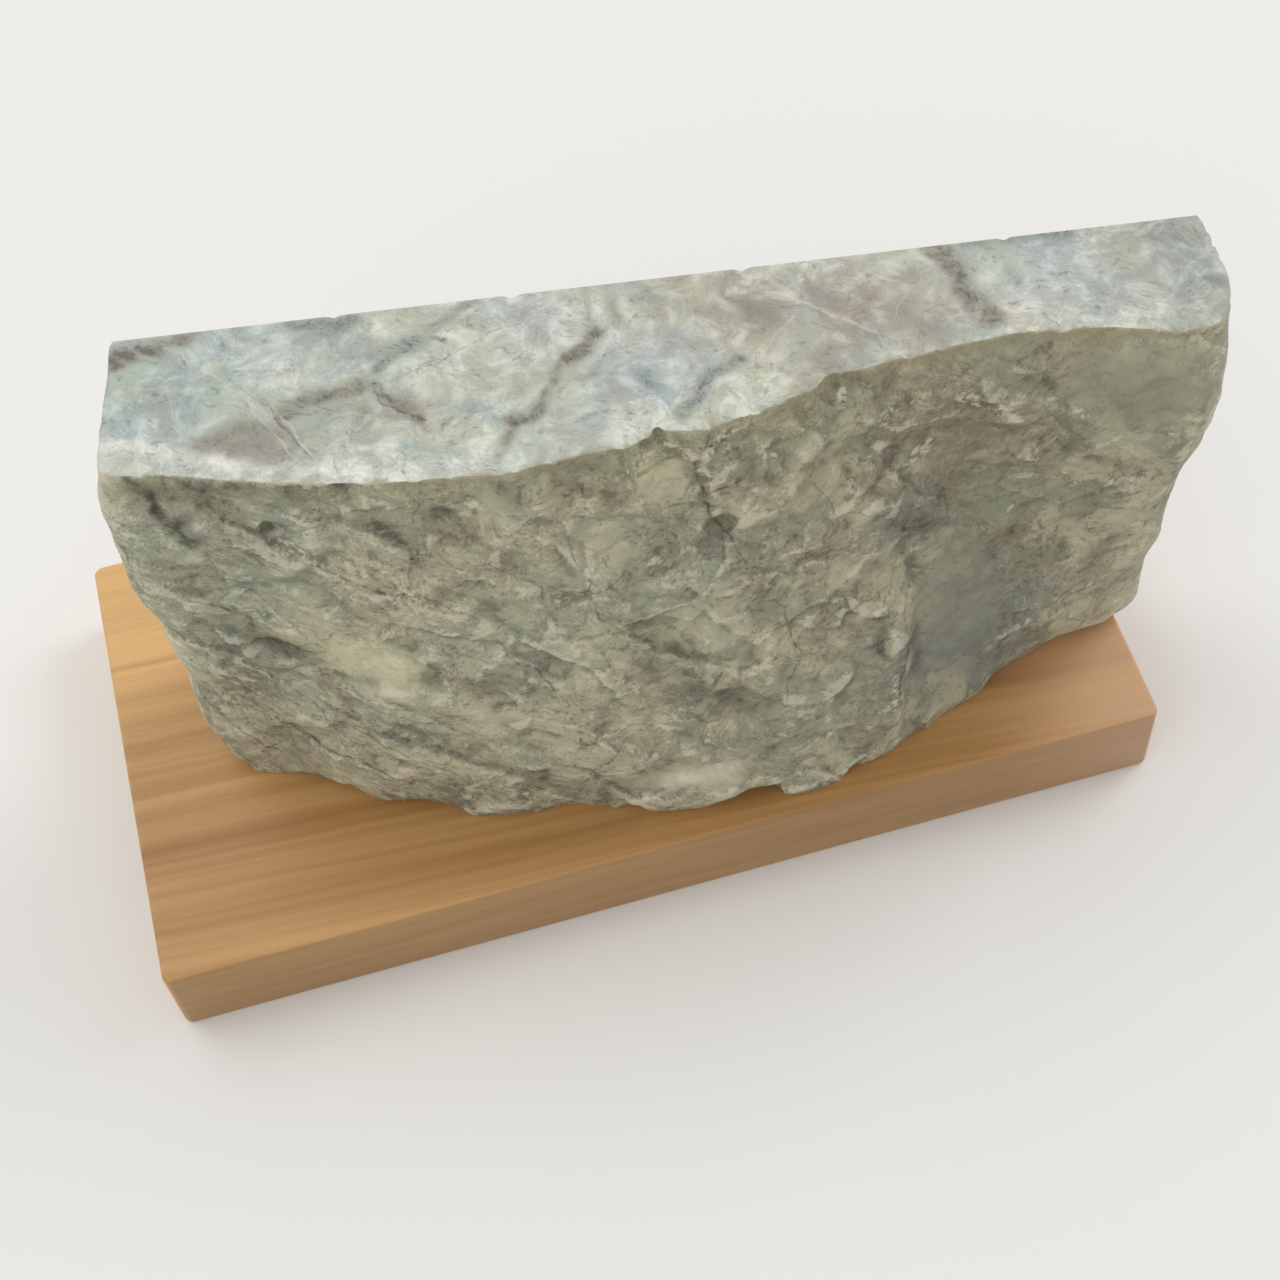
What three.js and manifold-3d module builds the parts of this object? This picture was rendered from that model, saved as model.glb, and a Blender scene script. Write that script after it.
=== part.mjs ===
// Rough jade offcut: a slab of mottled grey-green jade, sawn flat on its top, back and foot
// and still rough on its front and ends, standing on a plain wooden board.
// Millimetres, +Z up. X runs along the board and Y from its front edge to its back edge.
// The origin is the centre of the board's underside.

import * as THREE from 'three';
import { mergeVertices } from 'three/addons/utils/BufferGeometryUtils.js';
import Module from 'manifold-3d';

const wasm = await Module();
wasm.setup();

// The board
const BOARD_LENGTH = 147;
const BOARD_DEPTH = 73;
const BOARD_THICKNESS = 14.5;
const BOARD_CORNER_RADIUS = 1.4;
const BOARD_EDGE_ROUNDING = 0.6;

// The stone stands a little askew on the board. Its own frame has its origin at the back left
// corner of its foot: "along" runs along the sawn back, "deep" comes forward, "up" rises.
const STONE_LENGTH = 137;
const STONE_HEIGHT = 71;
const STONE_CORNER = new THREE.Vector3(-54.2, 16.1, BOARD_THICKNESS);
const STONE_TURN = THREE.MathUtils.degToRad(-9.5);

// Outlines of the rough skin, [along, deep], from the back left corner round the front.
// They start and end behind the saw cut. Like points lie on one line up the stone.
const RIM_OUTLINE = [
  [0, -6], [-0.2, 6], [-0.5, 14.5], [1.7, 20], [12, 23.3], [24, 26.2], [36, 28.1], [48, 28.8],
  [60, 26.7], [72, 24.3], [84, 20.7], [96, 17.3], [108, 15.8], [122, 16.3], [134, 18],
  [137.5, 12.8], [137.3, 4.5], [136, -6],
];
const WAIST_OUTLINE = [
  [-2, -6], [-2.6, 6], [-2.8, 15.5], [0.8, 21.8], [11, 24.4], [23, 28.6], [35, 31.4], [48, 33],
  [60, 33.4], [72, 32.4], [84, 29.9], [95.5, 26.4], [108, 21.6], [121.5, 18.6], [133, 16.2],
  [136.8, 10.5], [136.6, 4], [136, -6],
];
const FOOT_OUTLINE = [
  [0, -6], [-0.4, 6], [-0.8, 15.5], [2.4, 22.4], [10, 24.6], [21, 30], [34, 33.6], [47, 36.1],
  [60, 37.5], [72, 37.4], [84, 36.2], [96, 31.6], [108, 25.4], [121, 18], [131.4, 13.2],
  [135.2, 9.5], [134.8, 3], [134, -6],
];
const WAIST_SHARE = 0.46;

// The skin is a grid round and up the stone, which runs on past the saw cuts by a margin.
const SKIN_COLUMNS = 94;
const SKIN_ROWS = 36;
const SAW_MARGIN = 1;
const SMALL_TURN = 0.004;

// The relief is low just under the sawn rim, whose outline is clean.
const RIM_CALM = { reach: 9, least: 0.25 };

// Where the skin meets a flat it is worn back a little.
const RIM_WEAR = { reach: 1.2, depth: 0.35 };
const FOOT_WEAR = { reach: 3.5, depth: 1.3 };

// The right end is chipped off underneath, so that it stands clear of the board.
const FOOT_CHIP = { start: 122, slope: THREE.MathUtils.degToRad(9) };

// The broken skin is a patchwork of flat flakes, each leaning its own way, over low lumps.
const FLAKES = { size: 11, step: 0.5, lean: 0.08 };
const LUMPS = [
  { size: 26, out: 0.8 },
  { size: 7, out: 0.6 },
];

// Places on the front are [along, up]. "out" is how far the skin stands proud there.
const SWELLS = [
  { at: [-2, 52], reach: 13, out: 0.5 },
  { at: [137, 49], reach: 15, out: 2.2 },
  { at: [28, 33], reach: 7, out: 0.9 },
  { at: [71, 4.5], reach: 3, out: 1.2 },
  { at: [84, 17], reach: 9, out: 1 },
  { at: [108, 40], reach: 14, out: -1.3 },
];

// A ledge stands proud on the right-hand side of its path, and the step fades away from it.
const LEDGE_FADE = 7;
const LEDGE_STEP = 1;
const LEDGE_TIP = 0.08;
const LEDGES = [
  { out: 1.4, path: [[7, 67], [15, 62.5], [18.5, 58.5], [24, 53], [32, 50]] },
  { out: 1.2, path: [[-1, 54], [3, 49], [8, 45], [13, 42], [19, 41]] },
  { out: 1, path: [[2, 41], [6.5, 38.5], [10, 37.5], [15, 36]] },
  { out: 1.3, path: [[15, 23], [25.5, 21.5], [30, 18.5], [35, 14.5], [42, 9.5], [50, 4]] },
  { out: 1.2, path: [[56, 48], [53.5, 54.5], [51, 61]] },
  { out: 1.1, path: [[42, 47], [45, 42.5], [44, 38], [50, 33], [56, 34]] },
  { out: 1.2, path: [[86, 60], [90, 53], [95, 49], [103, 47.5]] },
  { out: 1.6, path: [[96, 44], [97.5, 31], [98, 16], [96.5, 0]] },
  { out: 1, path: [[112, 54], [108, 61], [103.5, 68]] },
  { out: 1.2, path: [[60, 45], [65, 35], [70, 32], [74, 24]] },
];
const PITS = [
  { at: [17.6, 61.5], reach: 2.4, deep: 1.5 },
  { at: [52, 47], reach: 2.2, deep: 1.3 },
  { at: [72.5, 23.5], reach: 2.8, deep: 1.2 },
  { at: [75, 0], reach: 2.6, deep: 2.2 },
  { at: [72.5, 55], reach: 2.4, deep: 1.4 },
  { at: [67, 69.5], reach: 2.4, deep: 1.5 },
  { at: [88.5, 70], reach: 2.2, deep: 1 },
];

// Some flakes came away clean and left a smooth place.
const FLAKE_SMOOTHING = 0.85;
const SMOOTH_FLAKES = [
  { at: [65.5, 7], wide: 10, tall: 5 },
  { at: [127, 62], wide: 12, tall: 9 },
  { at: [105, 22], wide: 8, tall: 18 },
];

function outlineCurve(outline) {
  return new THREE.SplineCurve(outline.map(([along, deep]) => new THREE.Vector2(along, deep)));
}

const rimCurve = outlineCurve(RIM_OUTLINE);
const waistCurve = outlineCurve(WAIST_OUTLINE);
const footCurve = outlineCurve(FOOT_OUTLINE);

// A point of the smooth skin, "round" the stone from 0 to 1 and "share" of the way up it.
function smoothSkin(round, share) {
  const t = waistCurve.getUtoTmapping(round);
  const footWeight = ((share - WAIST_SHARE) * (share - 1)) / WAIST_SHARE;
  const waistWeight = (share * (1 - share)) / (WAIST_SHARE * (1 - WAIST_SHARE));
  const rimWeight = (share * (share - WAIST_SHARE)) / (1 - WAIST_SHARE);
  return new THREE.Vector2()
    .addScaledVector(footCurve.getPoint(t), footWeight)
    .addScaledVector(waistCurve.getPoint(t), waistWeight)
    .addScaledVector(rimCurve.getPoint(t), rimWeight);
}

// The level direction that leads out of the skin, in [along, deep].
function outOfSkin(round, share) {
  const before = smoothSkin(Math.max(round - SMALL_TURN, 0), share);
  const after = smoothSkin(Math.min(round + SMALL_TURN, 1), share);
  const run = after.sub(before).normalize();
  return new THREE.Vector2(-run.y, run.x);
}

// A repeatable value from 0 to 1 for a whole-numbered place in space.
function scatter(i, j, k, salt) {
  let n = Math.imul(i, 374761393) + Math.imul(j, 668265263) + Math.imul(k, 1274126177);
  n = Math.imul(n + Math.imul(salt, 1013904223), 1664525);
  n = Math.imul(n ^ (n >>> 15), 2246822519);
  n = Math.imul(n ^ (n >>> 13), 3266489917);
  return ((n ^ (n >>> 16)) >>> 0) / 4294967295;
}

function ease(x) {
  return x * x * (3 - 2 * x);
}

// Soft noise from -1 to 1, with lumps of the given size.
function lumpNoise(point, size, salt) {
  const [x, y, z] = point.toArray().map((value) => value / size);
  const [i, j, k] = [Math.floor(x), Math.floor(y), Math.floor(z)];
  const [fx, fy, fz] = [ease(x - i), ease(y - j), ease(z - k)];
  const mix = THREE.MathUtils.lerp;
  const corner = (di, dj, dk) => scatter(i + di, j + dj, k + dk, salt);
  const edge = (dj, dk) => mix(corner(0, dj, dk), corner(1, dj, dk), fx);
  const face = (dk) => mix(edge(0, dk), edge(1, dk), fy);
  return 2 * mix(face(0), face(1), fz) - 1;
}

// The flake that a point lies on is the one with the nearest scattered centre.
function flakeRelief(point) {
  const cell = point.toArray().map((value) => Math.floor(value / FLAKES.size));
  let nearest = Infinity;
  let height = 0;
  for (let i = cell[0] - 1; i <= cell[0] + 1; i += 1) {
    for (let j = cell[1] - 1; j <= cell[1] + 1; j += 1) {
      for (let k = cell[2] - 1; k <= cell[2] + 1; k += 1) {
        const centre = new THREE.Vector3(
          (i + scatter(i, j, k, 1)) * FLAKES.size,
          (j + scatter(i, j, k, 2)) * FLAKES.size,
          (k + scatter(i, j, k, 3)) * FLAKES.size,
        );
        const away = point.clone().sub(centre);
        if (away.lengthSq() < nearest) {
          nearest = away.lengthSq();
          const lean = new THREE.Vector3(
            scatter(i, j, k, 4) - 0.5,
            scatter(i, j, k, 5) - 0.5,
            scatter(i, j, k, 6) - 0.5,
          );
          const step = (2 * scatter(i, j, k, 7) - 1) * FLAKES.step;
          height = step + 2 * FLAKES.lean * lean.dot(away);
        }
      }
    }
  }
  return height;
}

// The nearest place on a ledge's path: how far off it is, on which side, and how far along.
function nearestOnPath(path, place) {
  const points = path.map(([along, up]) => new THREE.Vector2(along, up));
  let best = { away: Infinity, side: 1, share: 0 };
  for (let i = 0; i < points.length - 1; i += 1) {
    const run = points[i + 1].clone().sub(points[i]);
    const toPlace = place.clone().sub(points[i]);
    const share = THREE.MathUtils.clamp(toPlace.dot(run) / run.lengthSq(), 0, 1);
    const away = toPlace.distanceTo(run.clone().multiplyScalar(share));
    if (away < best.away) {
      const side = Math.sign(toPlace.cross(run));
      best = { away, side, share: (i + share) / (points.length - 1) };
    }
  }
  return best;
}

function ledgeRelief({ out, path }, place) {
  const { away, side, share } = nearestOnPath(path, place);
  const taper = Math.sin(Math.PI * THREE.MathUtils.clamp(share, LEDGE_TIP, 1 - LEDGE_TIP));
  const step = side * Math.min(away / LEDGE_STEP, 1) * Math.exp(-away / LEDGE_FADE);
  return 0.5 * out * taper * step;
}

function bump({ at, reach }, place) {
  const away = place.distanceTo(new THREE.Vector2(...at)) / reach;
  return Math.exp(-away * away);
}

function roughness(place) {
  let rough = 1;
  for (const { at, wide, tall } of SMOOTH_FLAKES) {
    const away = Math.hypot((place.x - at[0]) / wide, (place.y - at[1]) / tall);
    rough *= 1 - FLAKE_SMOOTHING * Math.exp(-(away ** 4));
  }
  return rough;
}

function belowRim(up) {
  const clear = THREE.MathUtils.smoothstep(STONE_HEIGHT - up, 0, RIM_CALM.reach);
  return THREE.MathUtils.lerp(RIM_CALM.least, 1, clear);
}

// How far the skin stands proud of its smooth outline at a point.
function relief(point, front) {
  let broken = flakeRelief(point);
  LUMPS.forEach(({ size, out }, salt) => {
    broken += out * lumpNoise(point, size, 10 + salt);
  });
  let out = broken * roughness(front);
  SWELLS.forEach((swell) => {
    out += swell.out * bump(swell, front);
  });
  LEDGES.forEach((ledge) => {
    out += ledgeRelief(ledge, front);
  });
  out *= belowRim(front.y);
  PITS.forEach((pit) => {
    out -= pit.deep * bump(pit, front);
  });
  return out;
}

function wornBack(up) {
  const fromRim = Math.max(1 - (STONE_HEIGHT - up) / RIM_WEAR.reach, 0);
  const fromFoot = Math.max(1 - up / FOOT_WEAR.reach, 0);
  return RIM_WEAR.depth * fromRim * fromRim + FOOT_WEAR.depth * fromFoot * fromFoot;
}

function solidOf(geometry) {
  geometry.deleteAttribute('normal');
  geometry.deleteAttribute('uv');
  const merged = mergeVertices(geometry, 1e-4);
  return new wasm.Manifold(
    new wasm.Mesh({
      numProp: 3,
      vertProperties: new Float32Array(merged.attributes.position.array),
      triVerts: new Uint32Array(merged.index.array),
    }),
  );
}

function geometryOf(solid) {
  const mesh = solid.getMesh();
  const geometry = new THREE.BufferGeometry();
  geometry.setAttribute('position', new THREE.BufferAttribute(mesh.vertProperties, 3));
  geometry.setIndex(new THREE.BufferAttribute(mesh.triVerts, 1));
  return geometry;
}

// The lump before sawing: a gridded drum whose wall is pulled out to the rough skin.
// Its last column closes the ring behind the saw cut.
function roughLump() {
  const tall = STONE_HEIGHT + 2 * SAW_MARGIN;
  const lump = new THREE.CylinderGeometry(1, 1, tall, SKIN_COLUMNS, SKIN_ROWS);
  lump.rotateX(Math.PI / 2);
  const place = lump.attributes.position;
  for (let i = 0; i < place.count; i += 1) {
    const up = place.getZ(i) + STONE_HEIGHT / 2;
    const onWall = Math.hypot(place.getX(i), place.getY(i)) > 0.5;
    if (!onWall) {
      place.setXYZ(i, STONE_LENGTH / 2, -SAW_MARGIN, up);
      continue;
    }
    const turn = Math.atan2(place.getX(i), -place.getY(i)) / (2 * Math.PI);
    const column = Math.round(turn * SKIN_COLUMNS + SKIN_COLUMNS) % SKIN_COLUMNS;
    const round = column / (SKIN_COLUMNS - 1);
    const share = THREE.MathUtils.clamp(up / STONE_HEIGHT, 0, 1);
    const skin = smoothSkin(round, share);
    const point = new THREE.Vector3(skin.x, -skin.y, up);
    const out = relief(point, new THREE.Vector2(skin.x, up)) - wornBack(up);
    skin.addScaledVector(outOfSkin(round, share), out);
    place.setXYZ(i, skin.x, -skin.y, up);
  }
  return solidOf(lump);
}

// What is left between the three saw cuts.
function sawCuts() {
  const span = 2 * STONE_LENGTH;
  const block = new THREE.BoxGeometry(span, span, STONE_HEIGHT);
  block.translate(STONE_LENGTH / 2, -span / 2, STONE_HEIGHT / 2);
  return solidOf(block);
}

function footChip() {
  const span = STONE_LENGTH;
  const wedge = new THREE.BoxGeometry(span, span, span / 4);
  wedge.translate(span / 2, 0, -span / 8);
  wedge.rotateY(-FOOT_CHIP.slope);
  wedge.translate(FOOT_CHIP.start, 0, 0);
  return solidOf(wedge);
}

function jadeStone() {
  const sawn = roughLump().intersect(sawCuts()).subtract(footChip());
  const jade = new THREE.MeshStandardMaterial({ color: 0x9a9b86, roughness: 0.6, metalness: 0 });
  const stone = new THREE.Mesh(geometryOf(sawn), jade);
  stone.name = 'jade_stone';
  stone.rotation.z = STONE_TURN;
  stone.position.copy(STONE_CORNER);
  return stone;
}

// A plain block with its corners and edges softened.
function woodenBoard() {
  const halfLong = BOARD_LENGTH / 2 - BOARD_EDGE_ROUNDING;
  const halfDeep = BOARD_DEPTH / 2 - BOARD_EDGE_ROUNDING;
  const radius = BOARD_CORNER_RADIUS - BOARD_EDGE_ROUNDING;
  const outline = new THREE.Shape();
  outline.absarc(halfLong - radius, halfDeep - radius, radius, 0, Math.PI / 2);
  outline.absarc(radius - halfLong, halfDeep - radius, radius, Math.PI / 2, Math.PI);
  outline.absarc(radius - halfLong, radius - halfDeep, radius, Math.PI, 1.5 * Math.PI);
  outline.absarc(halfLong - radius, radius - halfDeep, radius, 1.5 * Math.PI, 2 * Math.PI);
  const block = new THREE.ExtrudeGeometry(outline, {
    depth: BOARD_THICKNESS - 2 * BOARD_EDGE_ROUNDING,
    bevelThickness: BOARD_EDGE_ROUNDING,
    bevelSize: BOARD_EDGE_ROUNDING,
    bevelSegments: 3,
    curveSegments: 4,
  });
  block.translate(0, 0, BOARD_EDGE_ROUNDING);
  const wood = new THREE.MeshStandardMaterial({ color: 0xb98a5a, roughness: 0.55, metalness: 0 });
  const board = new THREE.Mesh(block, wood);
  board.name = 'wooden_board';
  return board;
}

const offcut = new THREE.Group();
offcut.add(jadeStone(), woodenBoard());

export default offcut;
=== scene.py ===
# %% [markdown]
# # A rough jade offcut on its board
#
# The object is a slab of mottled grey-green jade. It was sawn flat on its top, its back and its
# foot, its front and ends are still broken rock, and it stands on a plain wooden board.
# The lesson loads the plain solids first, because they hold the real sizes, and then dresses
# each of them. Lengths in the solids are metres, so `MM` turns millimetres into metres.

# %% Load the solids
from math import cos, degrees, pi, radians, sin

import bmesh
import bpy
import numpy as np
from mathutils import Matrix, Vector
from mathutils.kdtree import KDTree


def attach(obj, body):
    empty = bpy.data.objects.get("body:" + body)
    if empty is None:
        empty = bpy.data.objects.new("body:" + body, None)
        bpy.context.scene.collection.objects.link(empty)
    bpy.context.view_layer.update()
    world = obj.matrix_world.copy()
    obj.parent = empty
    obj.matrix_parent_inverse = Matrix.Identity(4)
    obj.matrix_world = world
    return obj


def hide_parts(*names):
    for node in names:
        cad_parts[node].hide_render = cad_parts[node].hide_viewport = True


MM = 0.001
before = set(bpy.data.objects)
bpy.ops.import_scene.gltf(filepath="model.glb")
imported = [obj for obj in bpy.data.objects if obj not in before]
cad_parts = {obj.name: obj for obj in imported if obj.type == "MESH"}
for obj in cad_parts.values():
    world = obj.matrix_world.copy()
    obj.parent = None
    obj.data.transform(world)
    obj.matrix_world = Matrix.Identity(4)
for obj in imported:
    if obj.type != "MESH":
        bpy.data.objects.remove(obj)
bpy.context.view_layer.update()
print("solids:", sorted(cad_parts))

# %% [markdown]
# ## A few habits
#
# Blender's operators act on whatever is selected, so every step starts with nothing selected.
# Vertices are then chosen in code by their place, which is what a box select does by hand.

# %% Selecting
def select_only(piece):
    bpy.ops.object.select_all(action="DESELECT")
    piece.select_set(True)
    bpy.context.view_layer.objects.active = piece


def edit(piece, element="VERT"):
    select_only(piece)
    bpy.ops.object.mode_set(mode="EDIT")
    bpy.ops.mesh.select_mode(type=element)
    bpy.ops.mesh.select_all(action="DESELECT")


def done_editing():
    bpy.ops.object.mode_set(mode="OBJECT")


def places_of(piece):
    places = np.empty(len(piece.data.vertices) * 3, np.float32)
    piece.data.vertices.foreach_get("co", places)
    return places.reshape(-1, 3).astype(float)


def move_to(piece, places):
    piece.data.vertices.foreach_set("co", places.astype(np.float32).ravel())
    piece.data.update()


def select_vertices(piece, chosen):
    """Leaves exactly the chosen vertices selected, with the piece in edit mode."""
    edit(piece)
    done_editing()
    piece.data.vertices.foreach_set("select", chosen)
    bpy.ops.object.mode_set(mode="EDIT")

# %% [markdown]
# ## The stone's own frame
#
# The stone stands a little askew on the board. While it is being shaped its mesh lies in its
# own frame, in millimetres: x runs along the sawn back, -y comes forward and z goes up. Saw
# cuts are then level or upright planes, and the marks can be placed as on a drawing.

# %% Copy the stone into its own frame
STONE_HEIGHT = 71
STONE_CORNER = Vector((-54.2, 16.1, 14.5))
STONE_TURN = radians(-9.5)
on_the_board = (
    Matrix.Scale(MM, 4) @ Matrix.Translation(STONE_CORNER) @ Matrix.Rotation(STONE_TURN, 4, "Z")
)

solid_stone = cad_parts["jade_stone"]
stone = bpy.data.objects.new("rough_jade", solid_stone.data.copy())
bpy.context.scene.collection.objects.link(stone)
stone.data.materials.clear()
stone.data.transform(on_the_board.inverted())

edit(stone)
bpy.ops.mesh.select_all(action="SELECT")
bpy.ops.mesh.remove_doubles(threshold=0.001)
done_editing()
print("stone solid:", len(stone.data.vertices), "vertices")

# %% [markdown]
# ## The lump before sawing
#
# The real skin was broken first and sawn afterwards, and the model goes the same way. The three
# flat sides are pushed out past the saw cuts, so that whatever is done to the skin runs on
# beyond them. A voxel remesh then gives an even mesh, as for sculpting, and smoothing takes
# the flat facets of the solid away.

# %% Push the flat sides out and remesh
SPARE = 2.5
GRAIN_OF_MESH = 0.47
FACET_SMOOTHING = 14


def averaged(piece, values, passes):
    """Values on the vertices, each replaced again and again by the mean of its neighbours."""
    edges = np.empty(len(piece.data.edges) * 2, np.int64)
    piece.data.edges.foreach_get("vertices", edges)
    one, other = edges.reshape(-1, 2).T
    count = np.bincount(np.concatenate([one, other]), minlength=len(values))
    for _ in range(passes):
        sums = [
            np.bincount(one, column[other], len(values))
            + np.bincount(other, column[one], len(values))
            for column in values.T
        ]
        values = np.stack(sums, axis=1) / count[:, None]
    return values


places = places_of(stone)
flat_sides = [
    (places[:, 2] > STONE_HEIGHT - 0.01, (0, 0, SPARE)),
    (places[:, 1] > -0.01, (0, SPARE, 0)),
    (places[:, 2] < 0.01, (0, 0, -SPARE)),
]
for chosen, way in flat_sides:
    select_vertices(stone, chosen)
    bpy.ops.transform.translate(value=way)
    done_editing()

select_only(stone)
stone.data.remesh_voxel_size = GRAIN_OF_MESH
stone.data.remesh_voxel_adaptivity = 0
bpy.ops.object.voxel_remesh()

faceted = places_of(stone)
edit(stone)
bpy.ops.mesh.select_all(action="SELECT")
bpy.ops.mesh.vertices_smooth(factor=0.5, repeat=FACET_SMOOTHING)
done_editing()
shrunk = faceted - places_of(stone)
move_to(stone, places_of(stone) + averaged(stone, shrunk, FACET_SMOOTHING))
print("lump:", len(stone.data.vertices), "vertices, given back up to", shrunk.max().round(2), "mm")

# %% [markdown]
# ## Two kinds of natural noise
#
# `cloud` is soft and cloudy, for lumps and drifting edges. `flakes` splits space into cells
# round scattered centres, and gives each cell its own lean, as where rock broke flake by flake.
# Both are worked out from a place alone, so they come out the same each time.

# %% Noise
def scatter(cells, salt):
    """A repeatable value from 0 to 1 for each whole-numbered cell."""
    whole = cells.astype(np.int64) & 0xFFFFFFFF
    n = whole[:, 0] * 374761393 + whole[:, 1] * 668265263 + whole[:, 2] * 1274126177
    n = (n + salt * 1013904223) & 0xFFFFFFFF
    for shift, factor in ((15, 2246822519), (13, 3266489917)):
        n = ((n ^ (n >> shift)) * factor) & 0xFFFFFFFF
    return (n ^ (n >> 16)) / 4294967295


def cloud(places, size, salt):
    """Soft noise from -1 to 1 with lumps of the given size."""
    spots = places / size
    cells = np.floor(spots)
    part = spots - cells
    part = part * part * (3 - 2 * part)
    total = np.zeros(len(places))
    for step in np.ndindex(2, 2, 2):
        share = np.prod(np.where(step, part, 1 - part), axis=1)
        total += share * scatter(cells + step, salt)
    return 2 * total - 1


def clouds(places, size, salt, octaves=4):
    """Cloudy noise about 0.5, each octave half the size of the one before it."""
    total = sum(0.6**k * cloud(places, size / 2**k, salt + k) for k in range(octaves))
    return 0.5 + 0.22 * total


def drifted(places, size, by, salt):
    """The places, each moved a little, so that what is drawn there gets a ragged edge."""
    moves = [cloud(places, size, salt + axis) for axis in range(3)]
    return places + by * np.stack(moves, axis=1)


def flakes(places, size, salt):
    """Each flake's leaning height, how far its border is, and a value of its own."""
    cells = np.floor(places / size)
    nearest = np.full(len(places), np.inf)
    second = np.full(len(places), np.inf)
    home = np.zeros_like(cells)
    middle = np.zeros_like(places)
    for step in np.ndindex(3, 3, 3):
        cell = cells + np.array(step) - 1
        spread = [scatter(cell, salt + axis) for axis in range(3)]
        centre = (cell + np.stack(spread, axis=1)) * size
        away = np.linalg.norm(places - centre, axis=1)
        closer = away < nearest
        second = np.where(closer, nearest, np.minimum(second, away))
        nearest = np.where(closer, away, nearest)
        home[closer] = cell[closer]
        middle[closer] = centre[closer]
    lean = np.stack([scatter(home, salt + 5 + axis) - 0.5 for axis in range(3)], axis=1)
    own = scatter(home, salt + 9)
    height = 2 * own - 1 + 2 * np.sum(lean * (places - middle), axis=1) / size
    return height, second - nearest, own

# %% [markdown]
# ## Drawing on the stone
#
# Ledges, streaks, veins and cracks all follow a path of a few points, read off the real stone.
# One function says how far every place is from a path, and on which side of it. A patch of
# colour is a path too, only a wide and soft one.

# %% Paths
def along_path(flat, path):
    """For each flat place: distance to the path, the side it is on, and the share along it."""
    best = np.full(len(flat), np.inf)
    side = np.ones(len(flat))
    share = np.zeros(len(flat))
    points = [np.array(point, float) for point in path]
    if len(points) == 1:
        points.append(points[0] + 0.01)
    for i, (start, end) in enumerate(zip(points, points[1:])):
        run = end - start
        to_place = flat - start
        part = np.clip(to_place @ run / (run @ run), 0, 1)
        away = np.linalg.norm(to_place - part[:, None] * run, axis=1)
        closer = away < best
        best = np.where(closer, away, best)
        turn = to_place[:, 0] * run[1] - to_place[:, 1] * run[0]
        side = np.where(closer, np.sign(turn), side)
        share = np.where(closer, (i + part) / (len(points) - 1), share)
    return best, side, share


def soft(flat, wide, path):
    """1 on the path and fading out over the given width."""
    away = along_path(flat, path)[0]
    return np.exp(-((away / wide) ** 2))


def strongest(flat, marks):
    return np.max([strength * soft(flat, wide, path) for strength, wide, path in marks], axis=0)


def thin_lines(flat, lines):
    """How many widths each place is from its nearest line, minus on one side, and its strength.

    A line can be much thinner than the mesh: between two vertices on its two sides, the signed
    distance passes through nothing exactly on the line.
    """
    nearest = np.full(len(flat), np.inf)
    widths_away = np.zeros(len(flat))
    strengths = np.zeros(len(flat))
    for strength, wide, path in lines:
        away, side, share = along_path(flat, path)
        closer = away < nearest
        nearest = np.where(closer, away, nearest)
        widths_away = np.where(closer, side * away / wide, widths_away)
        tapered = strength * (0.45 + 0.55 * np.sin(pi * share))
        strengths = np.where(closer, tapered, strengths)
    return widths_away, strengths * ease(nearest, 1.6, 0.9)


def ease(value, low, high):
    part = np.clip((value - low) / (high - low), 0, 1)
    return part * part * (3 - 2 * part)

# %% [markdown]
# ## The broken skin
#
# Jade breaks in small flat flakes that follow its layers, which dip to the right here. Big
# flakes carry small ones, thin grooves part them, and a few ledges cross the whole front. Some
# flakes came away clean and left a smooth place, and the skin is calm just under the sawn rim.

# %% Values for the skin
LAYER_DIP = radians(33)
LAYER_STRETCH = 0.6
SKIN_LUMPS = [(11, 0.3), (4.2, 0.12), (1.9, 0.06), (1.0, 0.035)]
SKIN_FLAKES = [
    {"size": 9.5, "out": 0.18, "groove": 0.03, "gap": 0.3},
    {"size": 3.6, "out": 0.09, "groove": 0.02, "gap": 0.25},
    {"size": 1.5, "out": 0.04, "groove": 0.02, "gap": 0.25},
]
LEFT_END = {"reach": 5, "out": 0.7}
# A fill stands round an upright line at (along, deep), and eases in from one height to another.
FILLS = [
    {"at": (0.6, 19.5), "reach": 3.8, "heights": (25, 62), "out": (-1.3, -1.1)},
    {"at": (133.5, 13), "reach": 3, "heights": (7, 2), "out": (0.7, -0.2)},
]
RIM_TRIM = {"along": 46, "wide": 15, "tall": 9, "back": 1.6, "deep": (15, 22)}
RIM_CALM = {"reach": 4, "least": 0.55}
RIGHT_CALM = {"from": 78, "to": 104, "least": 0.62}
BACK_CORNER_WEAR = {"reach": 1.6, "depth": 0.5}
CRUMB_SIZE, CRUMB_OUT = 0.9, 0.35
LEDGE_EDGE, LEDGE_REACH = 0.35, 2.4

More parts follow.
